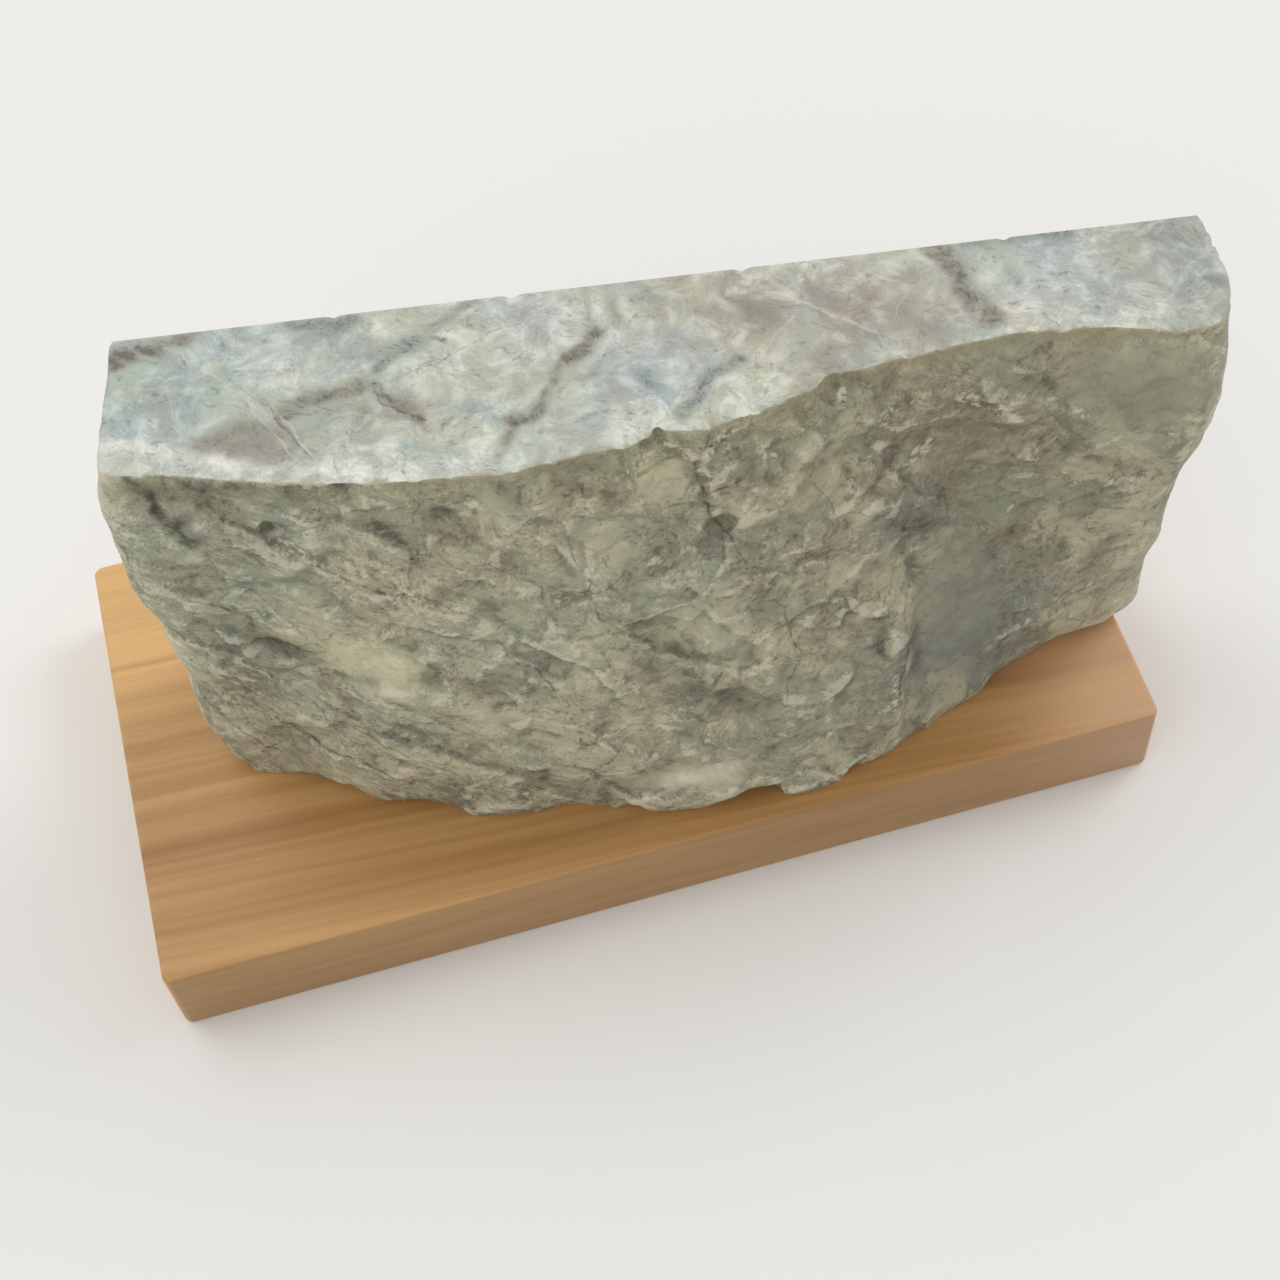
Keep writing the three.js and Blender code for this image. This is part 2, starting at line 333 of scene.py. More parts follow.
# Places on the front are (along, up). A ledge is (height, path), and the skin stands proud on
# the right of its path.
LEDGES = [
    (0.7, [(7, 67), (15, 62.5), (18.5, 58.5), (24, 53), (32, 50)]),
    (0.6, [(-1, 54), (3, 49), (8, 45), (13, 42), (19, 41)]),
    (0.5, [(2, 41), (6.5, 38.5), (10, 37.5), (15, 36)]),
    (0.6, [(15, 23), (25.5, 21.5), (30, 18.5), (35, 14.5), (42, 9.5), (50, 4)]),
    (0.4, [(5, 23), (12, 13.5), (21, 11), (30, 4)]),
    (0.5, [(56, 48), (53.5, 54.5), (51, 61)]),
    (0.6, [(42, 47), (45, 42.5), (44, 38), (50, 33), (56, 34)]),
    (0.5, [(30.5, 62.5), (32.5, 60), (35, 57), (41, 55)]),
    (0.6, [(86, 60), (90, 53), (95, 49), (103, 47.5)]),
    (0.5, [(96, 44), (97.5, 31), (98, 16), (96.5, 0)]),
    (0.5, [(112, 54), (108, 61), (103.5, 68)]),
    (0.6, [(60, 45), (65, 35), (70, 32), (74, 24)]),
    (0.5, [(75.5, 49), (72, 55), (71.3, 60.5), (70.5, 66), (66.5, 71)]),
    (0.4, [(79, 37), (83, 44), (90, 44)]),
    (0.4, [(118, 43), (112, 38), (110, 30)]),
    (0.4, [(66, 62), (74, 64), (80, 61)]),
]
# A pit is (depth, reach, middle), and a crumbled place is (strength, reach, path).
PITS = [
    (1.0, 0.8, (17.6, 61.5)),
    (0.8, 1.2, (52, 47)),
    (0.7, 1.6, (72.5, 23.5)),
    (1.4, 1.8, (75, 0)),
    (0.7, 1.2, (72.5, 55)),
    (1.5, 1.1, (65.8, 71)),
    (0.8, 0.8, (63.6, 70.6)),
    (0.6, 0.9, (87.6, 70.3)),
    (0.6, 1.2, (97.2, 64.2)),
    (0.5, 1.0, (39, 64.5)),
]
# A smooth flake is (middle, half width, half height).
SMOOTH_FLAKES = [
    ((66, 8.5), 8.5, 3.2), ((127, 62), 11, 8), ((105, 22), 6, 15), ((26, 34.5), 7, 5),
]
SMOOTHING = 0.8
CRUMBS = [
    (1.0, 0.9, [(16.5, 59.5), (18, 58.5), (20.2, 57.5)]),
    (0.6, 0.7, [(21, 56.5), (24, 53.5)]),
    (0.8, 0.8, [(71.6, 65), (73.1, 63.3)]),
    (0.9, 0.9, [(77, 70), (74.6, 69.4), (72, 67.5)]),
    (0.9, 1.0, [(65, 70.5), (68, 69.5), (69.5, 67.5)]),
    (1.0, 0.8, [(88.4, 69), (88.6, 67)]),
    (0.7, 0.7, [(97.2, 64.2)]),
    (0.8, 0.8, [(98.7, 45.9)]),
    (0.7, 0.9, [(90.3, 54.6)]),
    (0.7, 0.9, [(96.9, 52.7), (100.4, 55.6)]),
    (0.7, 0.9, [(114.5, 50)]),
    (0.9, 1.1, [(104, 63), (106, 60.9), (108.8, 59.9), (111.9, 56.5)]),
    (0.5, 1.0, [(125.6, 52.7), (120.4, 49.1)]),
    (0.5, 0.9, [(116.1, 60.3), (119.7, 56.8)]),
    (0.6, 0.8, [(55.2, 16.5), (51.9, 21.3)]),
    (0.7, 0.8, [(42.1, 5.3)]),
    (0.9, 1.0, [(71.2, 5.3)]),
    (0.7, 0.8, [(85.6, 11)]),
    (0.6, 0.9, [(96.1, 16), (95.4, 11.4)]),
    (0.6, 0.9, [(5.5, 26), (8, 24)]),
    (0.9, 0.9, [(52, 47), (56, 49)]),
    (0.6, 0.8, [(9, 44.5), (14, 41.5), (18, 41)]),
]
print("skin:", len(LEDGES), "ledges,", len(PITS), "pits,", len(CRUMBS), "crumbled places")

# %% Break the skin
def layered(places):
    """The places turned so that x runs down the layers, and squeezed along them."""
    x, y, z = places.T
    down = x * cos(LAYER_DIP) - z * sin(LAYER_DIP)
    across = x * sin(LAYER_DIP) + z * cos(LAYER_DIP)
    return np.stack([down * LAYER_STRETCH, y, across], axis=1)


def wavy_places(places):
    """The places moved by two soft noises, so that the flakes get wavy borders."""
    return drifted(drifted(places, 6, 1.3, 20), 1.9, 0.45, 24)


def broken_relief(places):
    """How far the skin stands proud, and the grooves that part its flakes."""
    wavy = wavy_places(places)
    relief = np.zeros(len(places))
    for salt, (size, out) in enumerate(SKIN_LUMPS):
        relief += out * cloud(places, size, 30 + salt)
    for flake in SKIN_FLAKES:
        height, border, _ = flakes(layered(wavy), flake["size"], int(40 * flake["size"]))
        relief += flake["out"] * height
        relief -= flake["groove"] * np.exp(-((border / flake["gap"]) ** 2))
    return relief


def ledge_relief(front, uneven):
    """A step at each ledge, sharp at its edge and easing off on both sides."""
    relief = np.zeros(len(front))
    for out, path in LEDGES:
        away, side, share = along_path(front, path)
        taper = np.sin(pi * np.clip(share, 0.08, 0.92))
        step = side * np.minimum(away / LEDGE_EDGE, 1) * np.exp(-away / LEDGE_REACH)
        relief += 0.5 * out * taper * step
    return relief * uneven


def normals_of(piece):
    normals = np.empty(len(piece.data.vertices) * 3, np.float32)
    piece.data.vertices.foreach_get("normal", normals)
    return normals.reshape(-1, 3).astype(float)


def smoothness(front):
    """1 on the smooth flakes and 0 elsewhere."""
    smooth = np.zeros(len(front))
    for (along, up), wide, tall in SMOOTH_FLAKES:
        away = np.hypot((front[:, 0] - along) / wide, (front[:, 1] - up) / tall)
        smooth = np.maximum(smooth, np.exp(-(away**4)))
    return smooth


print("layers dip by", round(degrees(LAYER_DIP)), "degrees")

# %% [markdown]
# Three places differ a little in their broad form from the plain solid: the upper left corner
# and the right tip are fuller, and the rim near the middle lies further back. They are moved
# first, and then the whole skin is pushed in and out along its normals.

# %% Fill and trim the lump
smooth_places = places_of(stone)
outwards = normals_of(stone)
end_out = LEFT_END["out"] * ease(smooth_places[:, 0], LEFT_END["reach"], 0)
for fill in FILLS:
    away = np.hypot(smooth_places[:, 0] - fill["at"][0], smooth_places[:, 1] + fill["at"][1])
    share = np.exp(-((away / fill["reach"]) ** 2)) * ease(smooth_places[:, 2], *fill["heights"])
    smooth_places[:, :2] += share[:, None] * fill["out"]
smooth_places[:, 0] -= end_out

trimmed = np.exp(-(((smooth_places[:, 0] - RIM_TRIM["along"]) / RIM_TRIM["wide"]) ** 2))
trimmed *= np.exp(-(((STONE_HEIGHT - smooth_places[:, 2]) / RIM_TRIM["tall"]) ** 2))
trimmed *= ease(-smooth_places[:, 1], *RIM_TRIM["deep"])
smooth_places[:, 1] += RIM_TRIM["back"] * trimmed
print("rim trimmed by up to", round(RIM_TRIM["back"] * trimmed.max(), 2), "mm")

# %% Give the lump its relief
ragged = drifted(drifted(smooth_places, 5, 1.2, 60), 1.4, 0.6, 64)
front = ragged[:, [0, 2]]
rough = 1 - SMOOTHING * smoothness(front)
uneven = np.clip(0.75 + 0.9 * cloud(smooth_places, 3.5, 66), 0, 1.4)
relief = broken_relief(smooth_places) * rough + ledge_relief(front, uneven)

below_rim = ease(STONE_HEIGHT - smooth_places[:, 2], 0, RIM_CALM["reach"])
relief *= RIM_CALM["least"] + (1 - RIM_CALM["least"]) * below_rim
to_right = ease(smooth_places[:, 0], RIGHT_CALM["from"], RIGHT_CALM["to"])
relief *= 1 - (1 - RIGHT_CALM["least"]) * to_right
for deep, reach, middle in PITS:
    relief -= deep * soft(front, reach, [middle])
crumbling = strongest(drifted(smooth_places, 1.5, 0.5, 68)[:, [0, 2]], CRUMBS)
relief += crumbling * CRUMB_OUT * (cloud(smooth_places, CRUMB_SIZE, 70) - 0.2)

near_back = np.clip(1 + smooth_places[:, 1] / BACK_CORNER_WEAR["reach"], 0, 1)
relief -= BACK_CORNER_WEAR["depth"] * near_back**2 * ease(np.abs(outwards[:, 0]), 0.4, 0.8)
foot_facing = np.where(smooth_places[:, 2] < -0.5, -outwards[:, 2], 0)
flat_facing = np.maximum.reduce([outwards[:, 2], outwards[:, 1], foot_facing])
relief *= 1 - ease(flat_facing, 0.6, 0.9)
move_to(stone, smooth_places + relief[:, None] * outwards)
print("relief from", round(relief.min(), 2), "to", round(relief.max(), 2), "mm")

# %% [markdown]
# ## The saw cuts
#
# `bisect` is Blender's saw: it cuts the mesh at a plane, clears what lies outside and fills the
# cut with one flat face. Three cuts give the top, the back and the foot, with crisp edges whose
# outline has all the small breaks of the skin.

# %% Saw the lump
SAW_CUTS = [
    ((0, 0, STONE_HEIGHT), (0, 0, 1)),
    ((0, 0, 0), (0, 1, 0)),
    ((0, 0, 0), (0, 0, -1)),
]
for at, outside in SAW_CUTS:
    edit(stone)
    bpy.ops.mesh.select_all(action="SELECT")
    bpy.ops.mesh.bisect(plane_co=at, plane_no=outside, use_fill=True, clear_outer=True)
    done_editing()
print("sawn:", len(stone.data.polygons), "faces")

# %% [markdown]
# A filled cut is a single face, and colour marks are kept on vertices, so the top and the back
# are cut up into a grid: fine on the top, coarser on the back. The cuts lie in the flat face,
# so its shape stays as it is.

# %% Grid the sawn faces
TOP_STEP = 0.55
BACK_STEP = 1.3
# A face counts as flat that way when its normal has at least this share in the direction.
FLAT = 0.9999


def grid_cut(mesh, facing, step, directions):
    """Cuts the faces that look a given way into strips, once in each direction."""
    flat = [face for face in mesh.faces if face.normal.dot(facing) > FLAT]
    cells = [face for face in flat if face.calc_area() > 1]
    for direction in directions:
        edges = {edge for face in cells for edge in face.edges}
        spans = [vertex.co.dot(direction) for face in cells for vertex in face.verts]
        cut = min(spans) + step
        geometry = [*cells, *edges, *{vertex for face in cells for vertex in face.verts}]
        while cut < max(spans) - 0.2 * step:
            result = bmesh.ops.bisect_plane(
                mesh, geom=geometry, dist=1e-5, plane_co=direction * cut, plane_no=direction
            )
            geometry = result["geom"]
            cut += step
        cells = [item for item in geometry if isinstance(item, bmesh.types.BMFace)]
    return len(cells)


carving = bmesh.new()
carving.from_mesh(stone.data)
ALONG, BACKWARDS, UP = Vector((1, 0, 0)), Vector((0, 1, 0)), Vector((0, 0, 1))
top_cells = grid_cut(carving, UP, TOP_STEP, (ALONG, BACKWARDS))
back_cells = grid_cut(carving, BACKWARDS, BACK_STEP, (ALONG, UP))
carving.to_mesh(stone.data)
carving.free()
print("cells on top:", top_cells, "and on the back:", back_cells)

# %% [markdown]
# ## Edges, faces and chips
#
# A saw cut meets the broken skin in a crisp but nicked edge. The edges beside a cut are marked
# sharp where they turn a lot, and each face is told whether it is sawn or broken, because the
# two kinds get finishes of their own. Small chips are then pressed into the rim and the back
# edge. A KD-tree tells how far every vertex lies from the rim.

# %% Mark the edges and the faces
SHARP_TURN = radians(28)
SKIN_FINISH, SAWN_FINISH = 0, 1

edit(stone)
bpy.ops.mesh.select_all(action="SELECT")
bpy.ops.mesh.normals_make_consistent(inside=False)
done_editing()
select_only(stone)
bpy.ops.object.shade_smooth()


def is_top(face):
    return face.normal.z > FLAT


def is_back(face):
    return face.normal.y > FLAT


def rim_vertices(mesh):
    """The vertices where the sawn top meets the broken skin."""
    found = set()
    for edge in mesh.edges:
        tops = [is_top(face) for face in edge.link_faces]
        if any(tops) and not all(tops) and not any(is_back(face) for face in edge.link_faces):
            found.update(edge.verts)
    return found


shaped = bmesh.new()
shaped.from_mesh(stone.data)
rim_places = [vertex.co.copy() for vertex in rim_vertices(shaped)]
for face in shaped.faces:
    was_sawn = is_top(face) or is_back(face) or face.normal.z < -FLAT
    face.material_index = SAWN_FINISH if was_sawn else SKIN_FINISH
for edge in shaped.edges:
    big_turn = edge.is_manifold and edge.calc_face_angle() > SHARP_TURN
    beside_saw_cut = any(is_top(face) or is_back(face) for face in edge.link_faces)
    edge.smooth = not (big_turn and beside_saw_cut)
shaped.to_mesh(stone.data)
shaped.free()
print("vertices on the rim:", len(rim_places))

# %% Chip the edges
RIM_CHIPS = {"size": 2.3, "fine": 0.9, "level": 0.2, "reach": 0.85, "depth": 0.8}
CHIPS_AT_CRUMBS = 0.6
BACK_EDGE = 0.7
# A chip of the back edge is (along, reach, depth).
BACK_CHIPS = [(27.6, 0.5, 0.3), (50, 0.6, 0.35), (79, 0.6, 0.3), (112, 0.5, 0.3)]

rim = KDTree(len(rim_places))
for number, place in enumerate(rim_places):
    rim.insert(place, number)
rim.balance()

places = places_of(stone)
from_rim = np.array([rim.find(place)[2] for place in places])
nicks = cloud(places, RIM_CHIPS["size"], 120) + 0.7 * cloud(places, RIM_CHIPS["fine"], 121)
chipped = np.clip(nicks - RIM_CHIPS["level"], 0, 1)
chipped = np.minimum(chipped + CHIPS_AT_CRUMBS * strongest(places[:, [0, 2]], CRUMBS), 1)
chipped *= np.exp(-((from_rim / RIM_CHIPS["reach"]) ** 2)) * (places[:, 1] < -0.5)
places[:, 2] -= RIM_CHIPS["depth"] * chipped
at_back_edge = (places[:, 1] > -BACK_EDGE) & (places[:, 2] > STONE_HEIGHT - BACK_EDGE)
for along, reach, depth in BACK_CHIPS:
    chip = at_back_edge * np.exp(-(((places[:, 0] - along) / reach) ** 2))
    places[:, 1] -= depth * chip
    places[:, 2] -= 0.6 * depth * chip
move_to(stone, places)
print("stone:", sum(len(face.vertices) - 2 for face in stone.data.polygons), "triangles")

# %% [markdown]
# ## Marks on the sawn top
#
# The sawn top shows the rock as in a cross-section: blue-green and white clouds, brown zones,
# dark purple-brown bands that run from the back to the front left, and cream veins across
# them. Each mark is drawn as a path with a width. The strengths go on the vertices as
# attributes, and the finish later turns them into colour with ragged, much finer edges.

# %% Colours of the sawn faces
def paint(red, green, blue):
    """A colour picked on a 0 to 255 scale, as the linear values that Blender mixes."""
    share = np.array([red, green, blue]) / 255
    return np.where(share > 0.04045, ((share + 0.055) / 1.055) ** 2.4, share / 12.92)


SAWN_PAINTS = {
    "pale": paint(200, 202, 189),
    "blue green": paint(176, 188, 184),
    "deep blue": paint(154, 174, 176),
    "blue white": paint(192, 198, 197),
    "white": paint(223, 223, 213),
    "warm": paint(178, 169, 154),
    "grey brown": paint(150, 144, 132),
    "grey": paint(146, 150, 147),
    "cream": paint(216, 211, 192),
    "leaf": paint(208, 212, 190),
}

# %% Clouds and bands of the sawn top
# Places on the top are (along, deep), with deep counted from the sawn back. A cloud is
# (colour, strength, width, path).
SAWN_CLOUDS = [
    ("blue green", 1.0, 9, [(2, 8), (9, 9), (16, 4)]),
    ("deep blue", 0.3, 3.5, [(3, 8), (12, 11)]),
    ("blue green", 0.9, 4, [(3, 14), (11, 14)]),
    ("white", 0.6, 3, [(19, 6), (25, 9)]),
    ("grey brown", 0.7, 2.2, [(12, 18.8), (17, 17.6), (22, 20)]),
    ("grey brown", 0.7, 2.8, [(24, 15), (30, 14.6), (34, 15.4)]),
    ("grey brown", 0.5, 3.2, [(14, 19), (22, 19.6)]),
    ("leaf", 0.7, 2.5, [(35.5, 1.8)]),
    ("blue green", 0.9, 3, [(24, 3), (30, 6)]),
    ("blue green", 0.6, 2, [(17, 8), (20, 11)]),
    ("grey brown", 0.5, 1.6, [(35, 16), (38, 18.2)]),
    ("leaf", 0.8, 3, [(40, 12), (46, 12.6), (44, 6)]),
    ("deep blue", 0.6, 1.5, [(42, 17), (46, 17.2)]),
    ("deep blue", 0.6, 1.2, [(35.4, 22), (37.6, 21.6)]),
    ("white", 0.5, 4, [(44, 9), (50, 7)]),
    ("leaf", 0.6, 2.5, [(40, 21), (50, 24)]),
    ("white", 0.6, 3, [(44, 25), (50, 26)]),
    ("blue white", 0.9, 3.5, [(50, 3), (55, 5)]),
    ("deep blue", 0.6, 1.2, [(57, 20.6), (59.6, 20.4)]),
    ("white", 0.7, 3, [(54, 24), (62, 22)]),
    ("white", 0.5, 6, [(60, 8), (68, 16)]),
    ("blue white", 0.9, 5, [(62, 14), (69, 11)]),
    ("deep blue", 0.7, 1.3, [(64.5, 15.4), (66.8, 19)]),
    ("leaf", 0.6, 3, [(57, 13), (52, 18)]),
    ("leaf", 0.9, 3.2, [(71, 23), (79.7, 17.5), (83, 18)]),
    ("warm", 0.9, 6, [(74, 3), (82, 10), (91, 8)]),
    ("warm", 0.9, 4, [(83, 14), (90, 16)]),
    ("warm", 0.9, 5, [(96, 7), (101, 13)]),
    ("grey brown", 0.5, 1.8, [(78.9, 5.8), (81.9, 8.1), (80, 11)]),
    ("grey brown", 0.5, 1.8, [(87, 5), (92, 8), (93, 13)]),
    ("grey brown", 0.4, 2.0, [(67, 2), (70, 5)]),
    ("leaf", 0.8, 1.8, [(98, 1.5), (96, 3)]),
    ("leaf", 0.5, 1.8, [(90.5, 5.5)]),
    ("blue white", 1.0, 5, [(109.5, 7.5), (117, 5), (122, 9)]),
    ("deep blue", 0.4, 2, [(106.5, 2), (115, 1.5), (120, 2)]),
    ("cream", 0.9, 1.6, [(107.5, 12), (110, 12.4), (112.5, 14)]),
    ("white", 0.4, 3, [(125, 13.5), (133.5, 14)]),
    ("grey", 0.85, 5.5, [(130, 4.5), (135, 12)]),
    ("white", 1.0, 1.3, [(-1, 16.6), (3.5, 17.8), (8.5, 19.4), (13.6, 20.4)]),
    ("white", 0.9, 1.2, [(13.6, 20.6), (22, 23.2), (32.3, 25.2), (41, 25.6)]),
]
# A dark band, and a blue-grey slate one, is (strength, width, path).
SAWN_BANDS = [
    (1.2, 1.6, [(-0.4, 4.2), (0.6, 2.8), (3, 2.4), (5, 2.5)]),
    (0.8, 1.3, [(6, 1.1), (8.3, 1.2), (10.3, 0.6)]),
    (0.4, 0.8, [(18.5, 11.8), (20.2, 14.7), (21.6, 17.1), (23, 19)]),
    (0.55, 2.2, [(11.2, 18.6), (14.7, 16.7), (18.8, 16.2)]),
    (0.5, 1.2, [(19.6, 16), (21.5, 17.4)]),
    (0.8, 1.9, [(21.4, 14.2), (23.6, 12.9), (26.6, 12.2), (30, 11.4)]),
    (0.8, 0.9, [(32.1, 12), (33.2, 14.4), (35.7, 16.5), (37.7, 18.1)]),
    (0.5, 1.4, [(62.7, 2.8), (63.1, 6.2)]),
    (0.9, 1.2, [(60.1, 7.2), (58.4, 9.8), (56.6, 11)]),
    (0.7, 0.9, [(56.6, 11), (55.5, 11.7), (53.2, 15.9), (51.4, 18)]),
    (1.0, 1.1, [(51.4, 18.2), (50.1, 19.4), (48.3, 19.5)]),
    (0.6, 1.3, [(48.5, 19.5), (47.7, 22.5), (46.4, 25)]),
    (0.4, 0.8, [(59.3, 0.1), (60, 6.2)]),
    (0.8, 1.9, [(103, 0), (104.9, 4.5), (105.6, 7.7), (107.1, 11), (108.1, 12.9)]),
    (0.4, 2.4, [(101, 14.5), (97, 12), (98, 9)]),
    (0.45, 1.8, [(79, 6), (82, 8.4)]),
    (0.4, 1.4, [(87, 5), (89, 8)]),
    (0.4, 1.4, [(85, 15.5), (88, 17.5)]),
]
SAWN_SLATES = [
    (0.6, 1.0, [(45.4, -0.4), (40.2, 3.7), (38, 5.4)]),
    (0.7, 1.6, [(38, 5.6), (36.1, 6.8), (32.9, 9.4)]),
    (0.9, 0.45, [(39.8, 5.6), (40.6, 6.1)]),
    (1.0, 0.5, [(32.4, 11.4), (33.7, 12.8)]),
    (0.8, 0.4, [(37, 17.6), (38, 18.4)]),
    (0.8, 1.3, [(76.4, 14.3), (74, 15.8), (72.1, 17.4), (70, 20.2), (68.6, 21.2)]),
    (0.6, 1.6, [(106.7, 0.2), (113, 0.6), (119.4, 0.3)]),
    (0.7, 1.4, [(21.8, 0.4), (24.6, 0.9), (28.2, 1.2), (30.4, 0.6)]),
    (0.5, 1.2, [(26, 2.6), (28, 2.4)]),
    (0.5, 1.2, [(31.5, 6.8), (33.5, 6.6)]),
    (0.5, 1.0, [(111.5, 5.8), (112.6, 8)]),
    (0.7, 0.8, [(64.4, 15.2), (65.2, 16.2)]),
    (0.5, 0.8, [(57.2, 20.6), (59.4, 20.4)]),
    (0.5, 0.7, [(63.5, 9.6), (65.4, 8.5)]),
    (0.5, 0.6, [(57.4, 13.8), (59.6, 13.4)]),
    (0.4, 0.6, [(51.7, 12.9), (52.6, 13.4)]),
    (0.3, 1.5, [(9, 6), (13, 9)]),
]
# A vein or a crack is (strength, half width, path).
SAWN_VEINS = [
    (0.9, 0.15, [(5.1, 0.9), (9.4, 4.6), (14.7, 10.3), (17.4, 13.8), (19.5, 15.9)]),
    (0.7, 0.14, [(6.5, 2.3), (11.8, 6.7), (15.4, 10.9)]),
    (0.8, 0.15, [(18.2, 12), (20.6, 14.3), (22.3, 17.4), (24.6, 21.4), (26.9, 23.9)]),
    (0.7, 0.14, [(19.5, 15.9), (21.6, 19.4), (23.4, 23)]),
    (0.5, 0.14, [(38.7, 18.7), (40.9, 22.9), (42.8, 25.3)]),
    (0.6, 0.14, [(25.6, 16.8), (29, 15.8), (34, 16.5)]),
    (0.9, 0.24, [(80, 3.4), (83.1, 4.5), (86, 6.9), (93.5, 12.7), (96.9, 16)]),
    (0.5, 0.16, [(79.2, 14.6), (82.3, 10.7), (85.6, 7.2)]),
    (0.8, 0.2, [(92.7, 1.6), (98.9, 6.4)]),
    (0.6, 0.16, [(99.6, 6.5), (96.4, 10.3)]),
    (0.5, 0.14, [(73.3, 9.9), (75.2, 12.3)]),
    (0.5, 0.16, [(126.3, 7), (124, 9.8), (122.1, 12.2), (121, 15.6)]),
    (0.5, 0.16, [(133.6, 7.1), (130.6, 12.5), (128.9, 15.4)]),
]
SAWN_CRACKS = [
    (0.8, 0.14, [(18.5, 11.8), (20.2, 14.7), (21.6, 17.1), (24.6, 21.8)]),
    (0.9, 0.14, [(32.1, 12), (33, 14.2), (35.7, 16.5), (37.7, 18.1), (38.7, 18.7)]),
    (0.5, 0.12, [(38.7, 18.7), (40.9, 22.9), (42.8, 25.3)]),
    (0.6, 0.12, [(24, 14), (26, 15.2), (27.6, 15.4)]),
    (0.5, 0.12, [(59.6, 13.6), (60.4, 11.6), (64.5, 10)]),
    (0.5, 0.12, [(34, 11), (40, 9.4), (48.2, 4.9), (53, 4.2)]),
    (0.5, 0.12, [(59.3, 0.1), (59, 3), (60, 6.2)]),
    (0.4, 0.12, [(99, 16), (101, 11), (104, 8)]),
    (0.4, 0.12, [(121, 1), (124, 5), (129, 8)]),
    (0.3, 0.12, [(42, 13), (46, 18), (47, 22)]),
    (0.4, 0.12, [(13, 6.4), (16.5, 11.5), (18.6, 13)]),
]
print("top:", len(SAWN_CLOUDS), "clouds,", len(SAWN_BANDS) + len(SAWN_SLATES), "bands")

# %% [markdown]
# The sawn back shows the same rock as the top, so the top's clouds and bands are folded down
# over the back edge, drawn out, and left to fade further down. Three slow noises are kept on
# the vertices as well, as the three channels of one colour, for stains of other tones.

# %% Put the marks on the vertices
TONE_SIZE = 6.5
BACK_FOLD = 0.4
BACK_FADE = {"from": 2, "to": 14, "share": 0.6}


def keep_value(piece, name, values):
    values = np.asarray(values, np.float32)
    piece.data.attributes.new(name, "FLOAT", "POINT").data.foreach_set("value", values)


def keep_colour(piece, name, colours):
    full = np.ones((len(colours), 4), np.float32)
    full[:, :3] = colours
    piece.data.attributes.new(name, "FLOAT_COLOR", "POINT").data.foreach_set("color", full.ravel())


def keep_places(piece, name, vectors):
    vectors = vectors.astype(np.float32).ravel()
    piece.data.attributes.new(name, "FLOAT_VECTOR", "POINT").data.foreach_set("vector", vectors)


def keep_lines(piece, name, flat, lines):
    widths_away, strengths = thin_lines(flat, lines)
    keep_value(piece, name, widths_away)
    keep_value(piece, name + "_strength", strengths)


def clouded(flat, ground, paints, patches):
    """The ground colour with each soft patch of colour laid over it in turn."""
    colours = np.tile(ground, (len(flat), 1))
    for name, strength, wide, path in patches:
        share = strength * soft(flat, wide, path)[:, None]
        colours += share * (paints[name] - colours)
    return colours


places = places_of(stone)
swirled = drifted(drifted(places, 5, 1.5, 140), 1.9, 0.6, 144)
keep_places(stone, "swirled", swirled)
keep_places(stone, "layered", layered(swirled))
tones = [clouds(swirled, TONE_SIZE, 150 + 10 * i) for i in range(3)]
keep_colour(stone, "three_clouds", np.stack(tones, axis=1))

on_back = places[:, 1] > -0.01
folded = np.where(on_back, (STONE_HEIGHT - places[:, 2]) * BACK_FOLD, -places[:, 1])
sawn_space = np.stack([places[:, 0], folded, np.zeros(len(places))], axis=1)
loose = drifted(drifted(sawn_space, 5, 0.8, 80), 1.6, 0.45, 84)[:, :2]
close = drifted(drifted(sawn_space, 4, 0.7, 86), 1.3, 0.3, 88)[:, :2]

keep_colour(stone, "sawn_clouds", clouded(loose, SAWN_PAINTS["pale"], SAWN_PAINTS, SAWN_CLOUDS))
faded = BACK_FADE["share"] * ease(folded, BACK_FADE["from"], BACK_FADE["to"])
fading = np.where(on_back, 1 - faded, 1)
keep_value(stone, "sawn_bands", strongest(loose, SAWN_BANDS) * fading)
keep_value(stone, "sawn_slates", strongest(loose, SAWN_SLATES) * fading)
keep_lines(stone, "sawn_veins", close, SAWN_VEINS)
keep_lines(stone, "sawn_cracks", close, SAWN_CRACKS)
keep_value(stone, "rim", from_rim)
print("marks on", int((places[:, 2] > STONE_HEIGHT - 0.01).sum()), "vertices of the top")

# %% [markdown]
# ## Marks on the broken front
#
# The broken skin is duller and yellower than the sawn top, with beige patches, blue-green ones
# at the left and grey ones at the right. Its marks are drawn the same way, on (along, up):
# patches of colour, wide patches of painted shade on the right and lower parts, dark blotches,
# cracks, crumbly places, and areas where thin layers show.

# %% Colours of the skin
SKIN_PAINTS = {
    "ground": paint(197, 193, 163),
    "blue green": paint(182, 190, 168),
    "beige": paint(214, 204, 174),
    "yellow": paint(230, 225, 188),
    "facet": paint(232, 224, 198),
    "olive": paint(182, 178, 140),
    "moss": paint(150, 152, 120),
    "grey": paint(160, 160, 142),
    "brown": paint(156, 146, 122),
    "dun": paint(146, 139, 116),
    "pink": paint(188, 174, 154),
    "rust": paint(180, 146, 106),
    "purple": paint(132, 122, 112),
    "slate": paint(124, 134, 130),
}

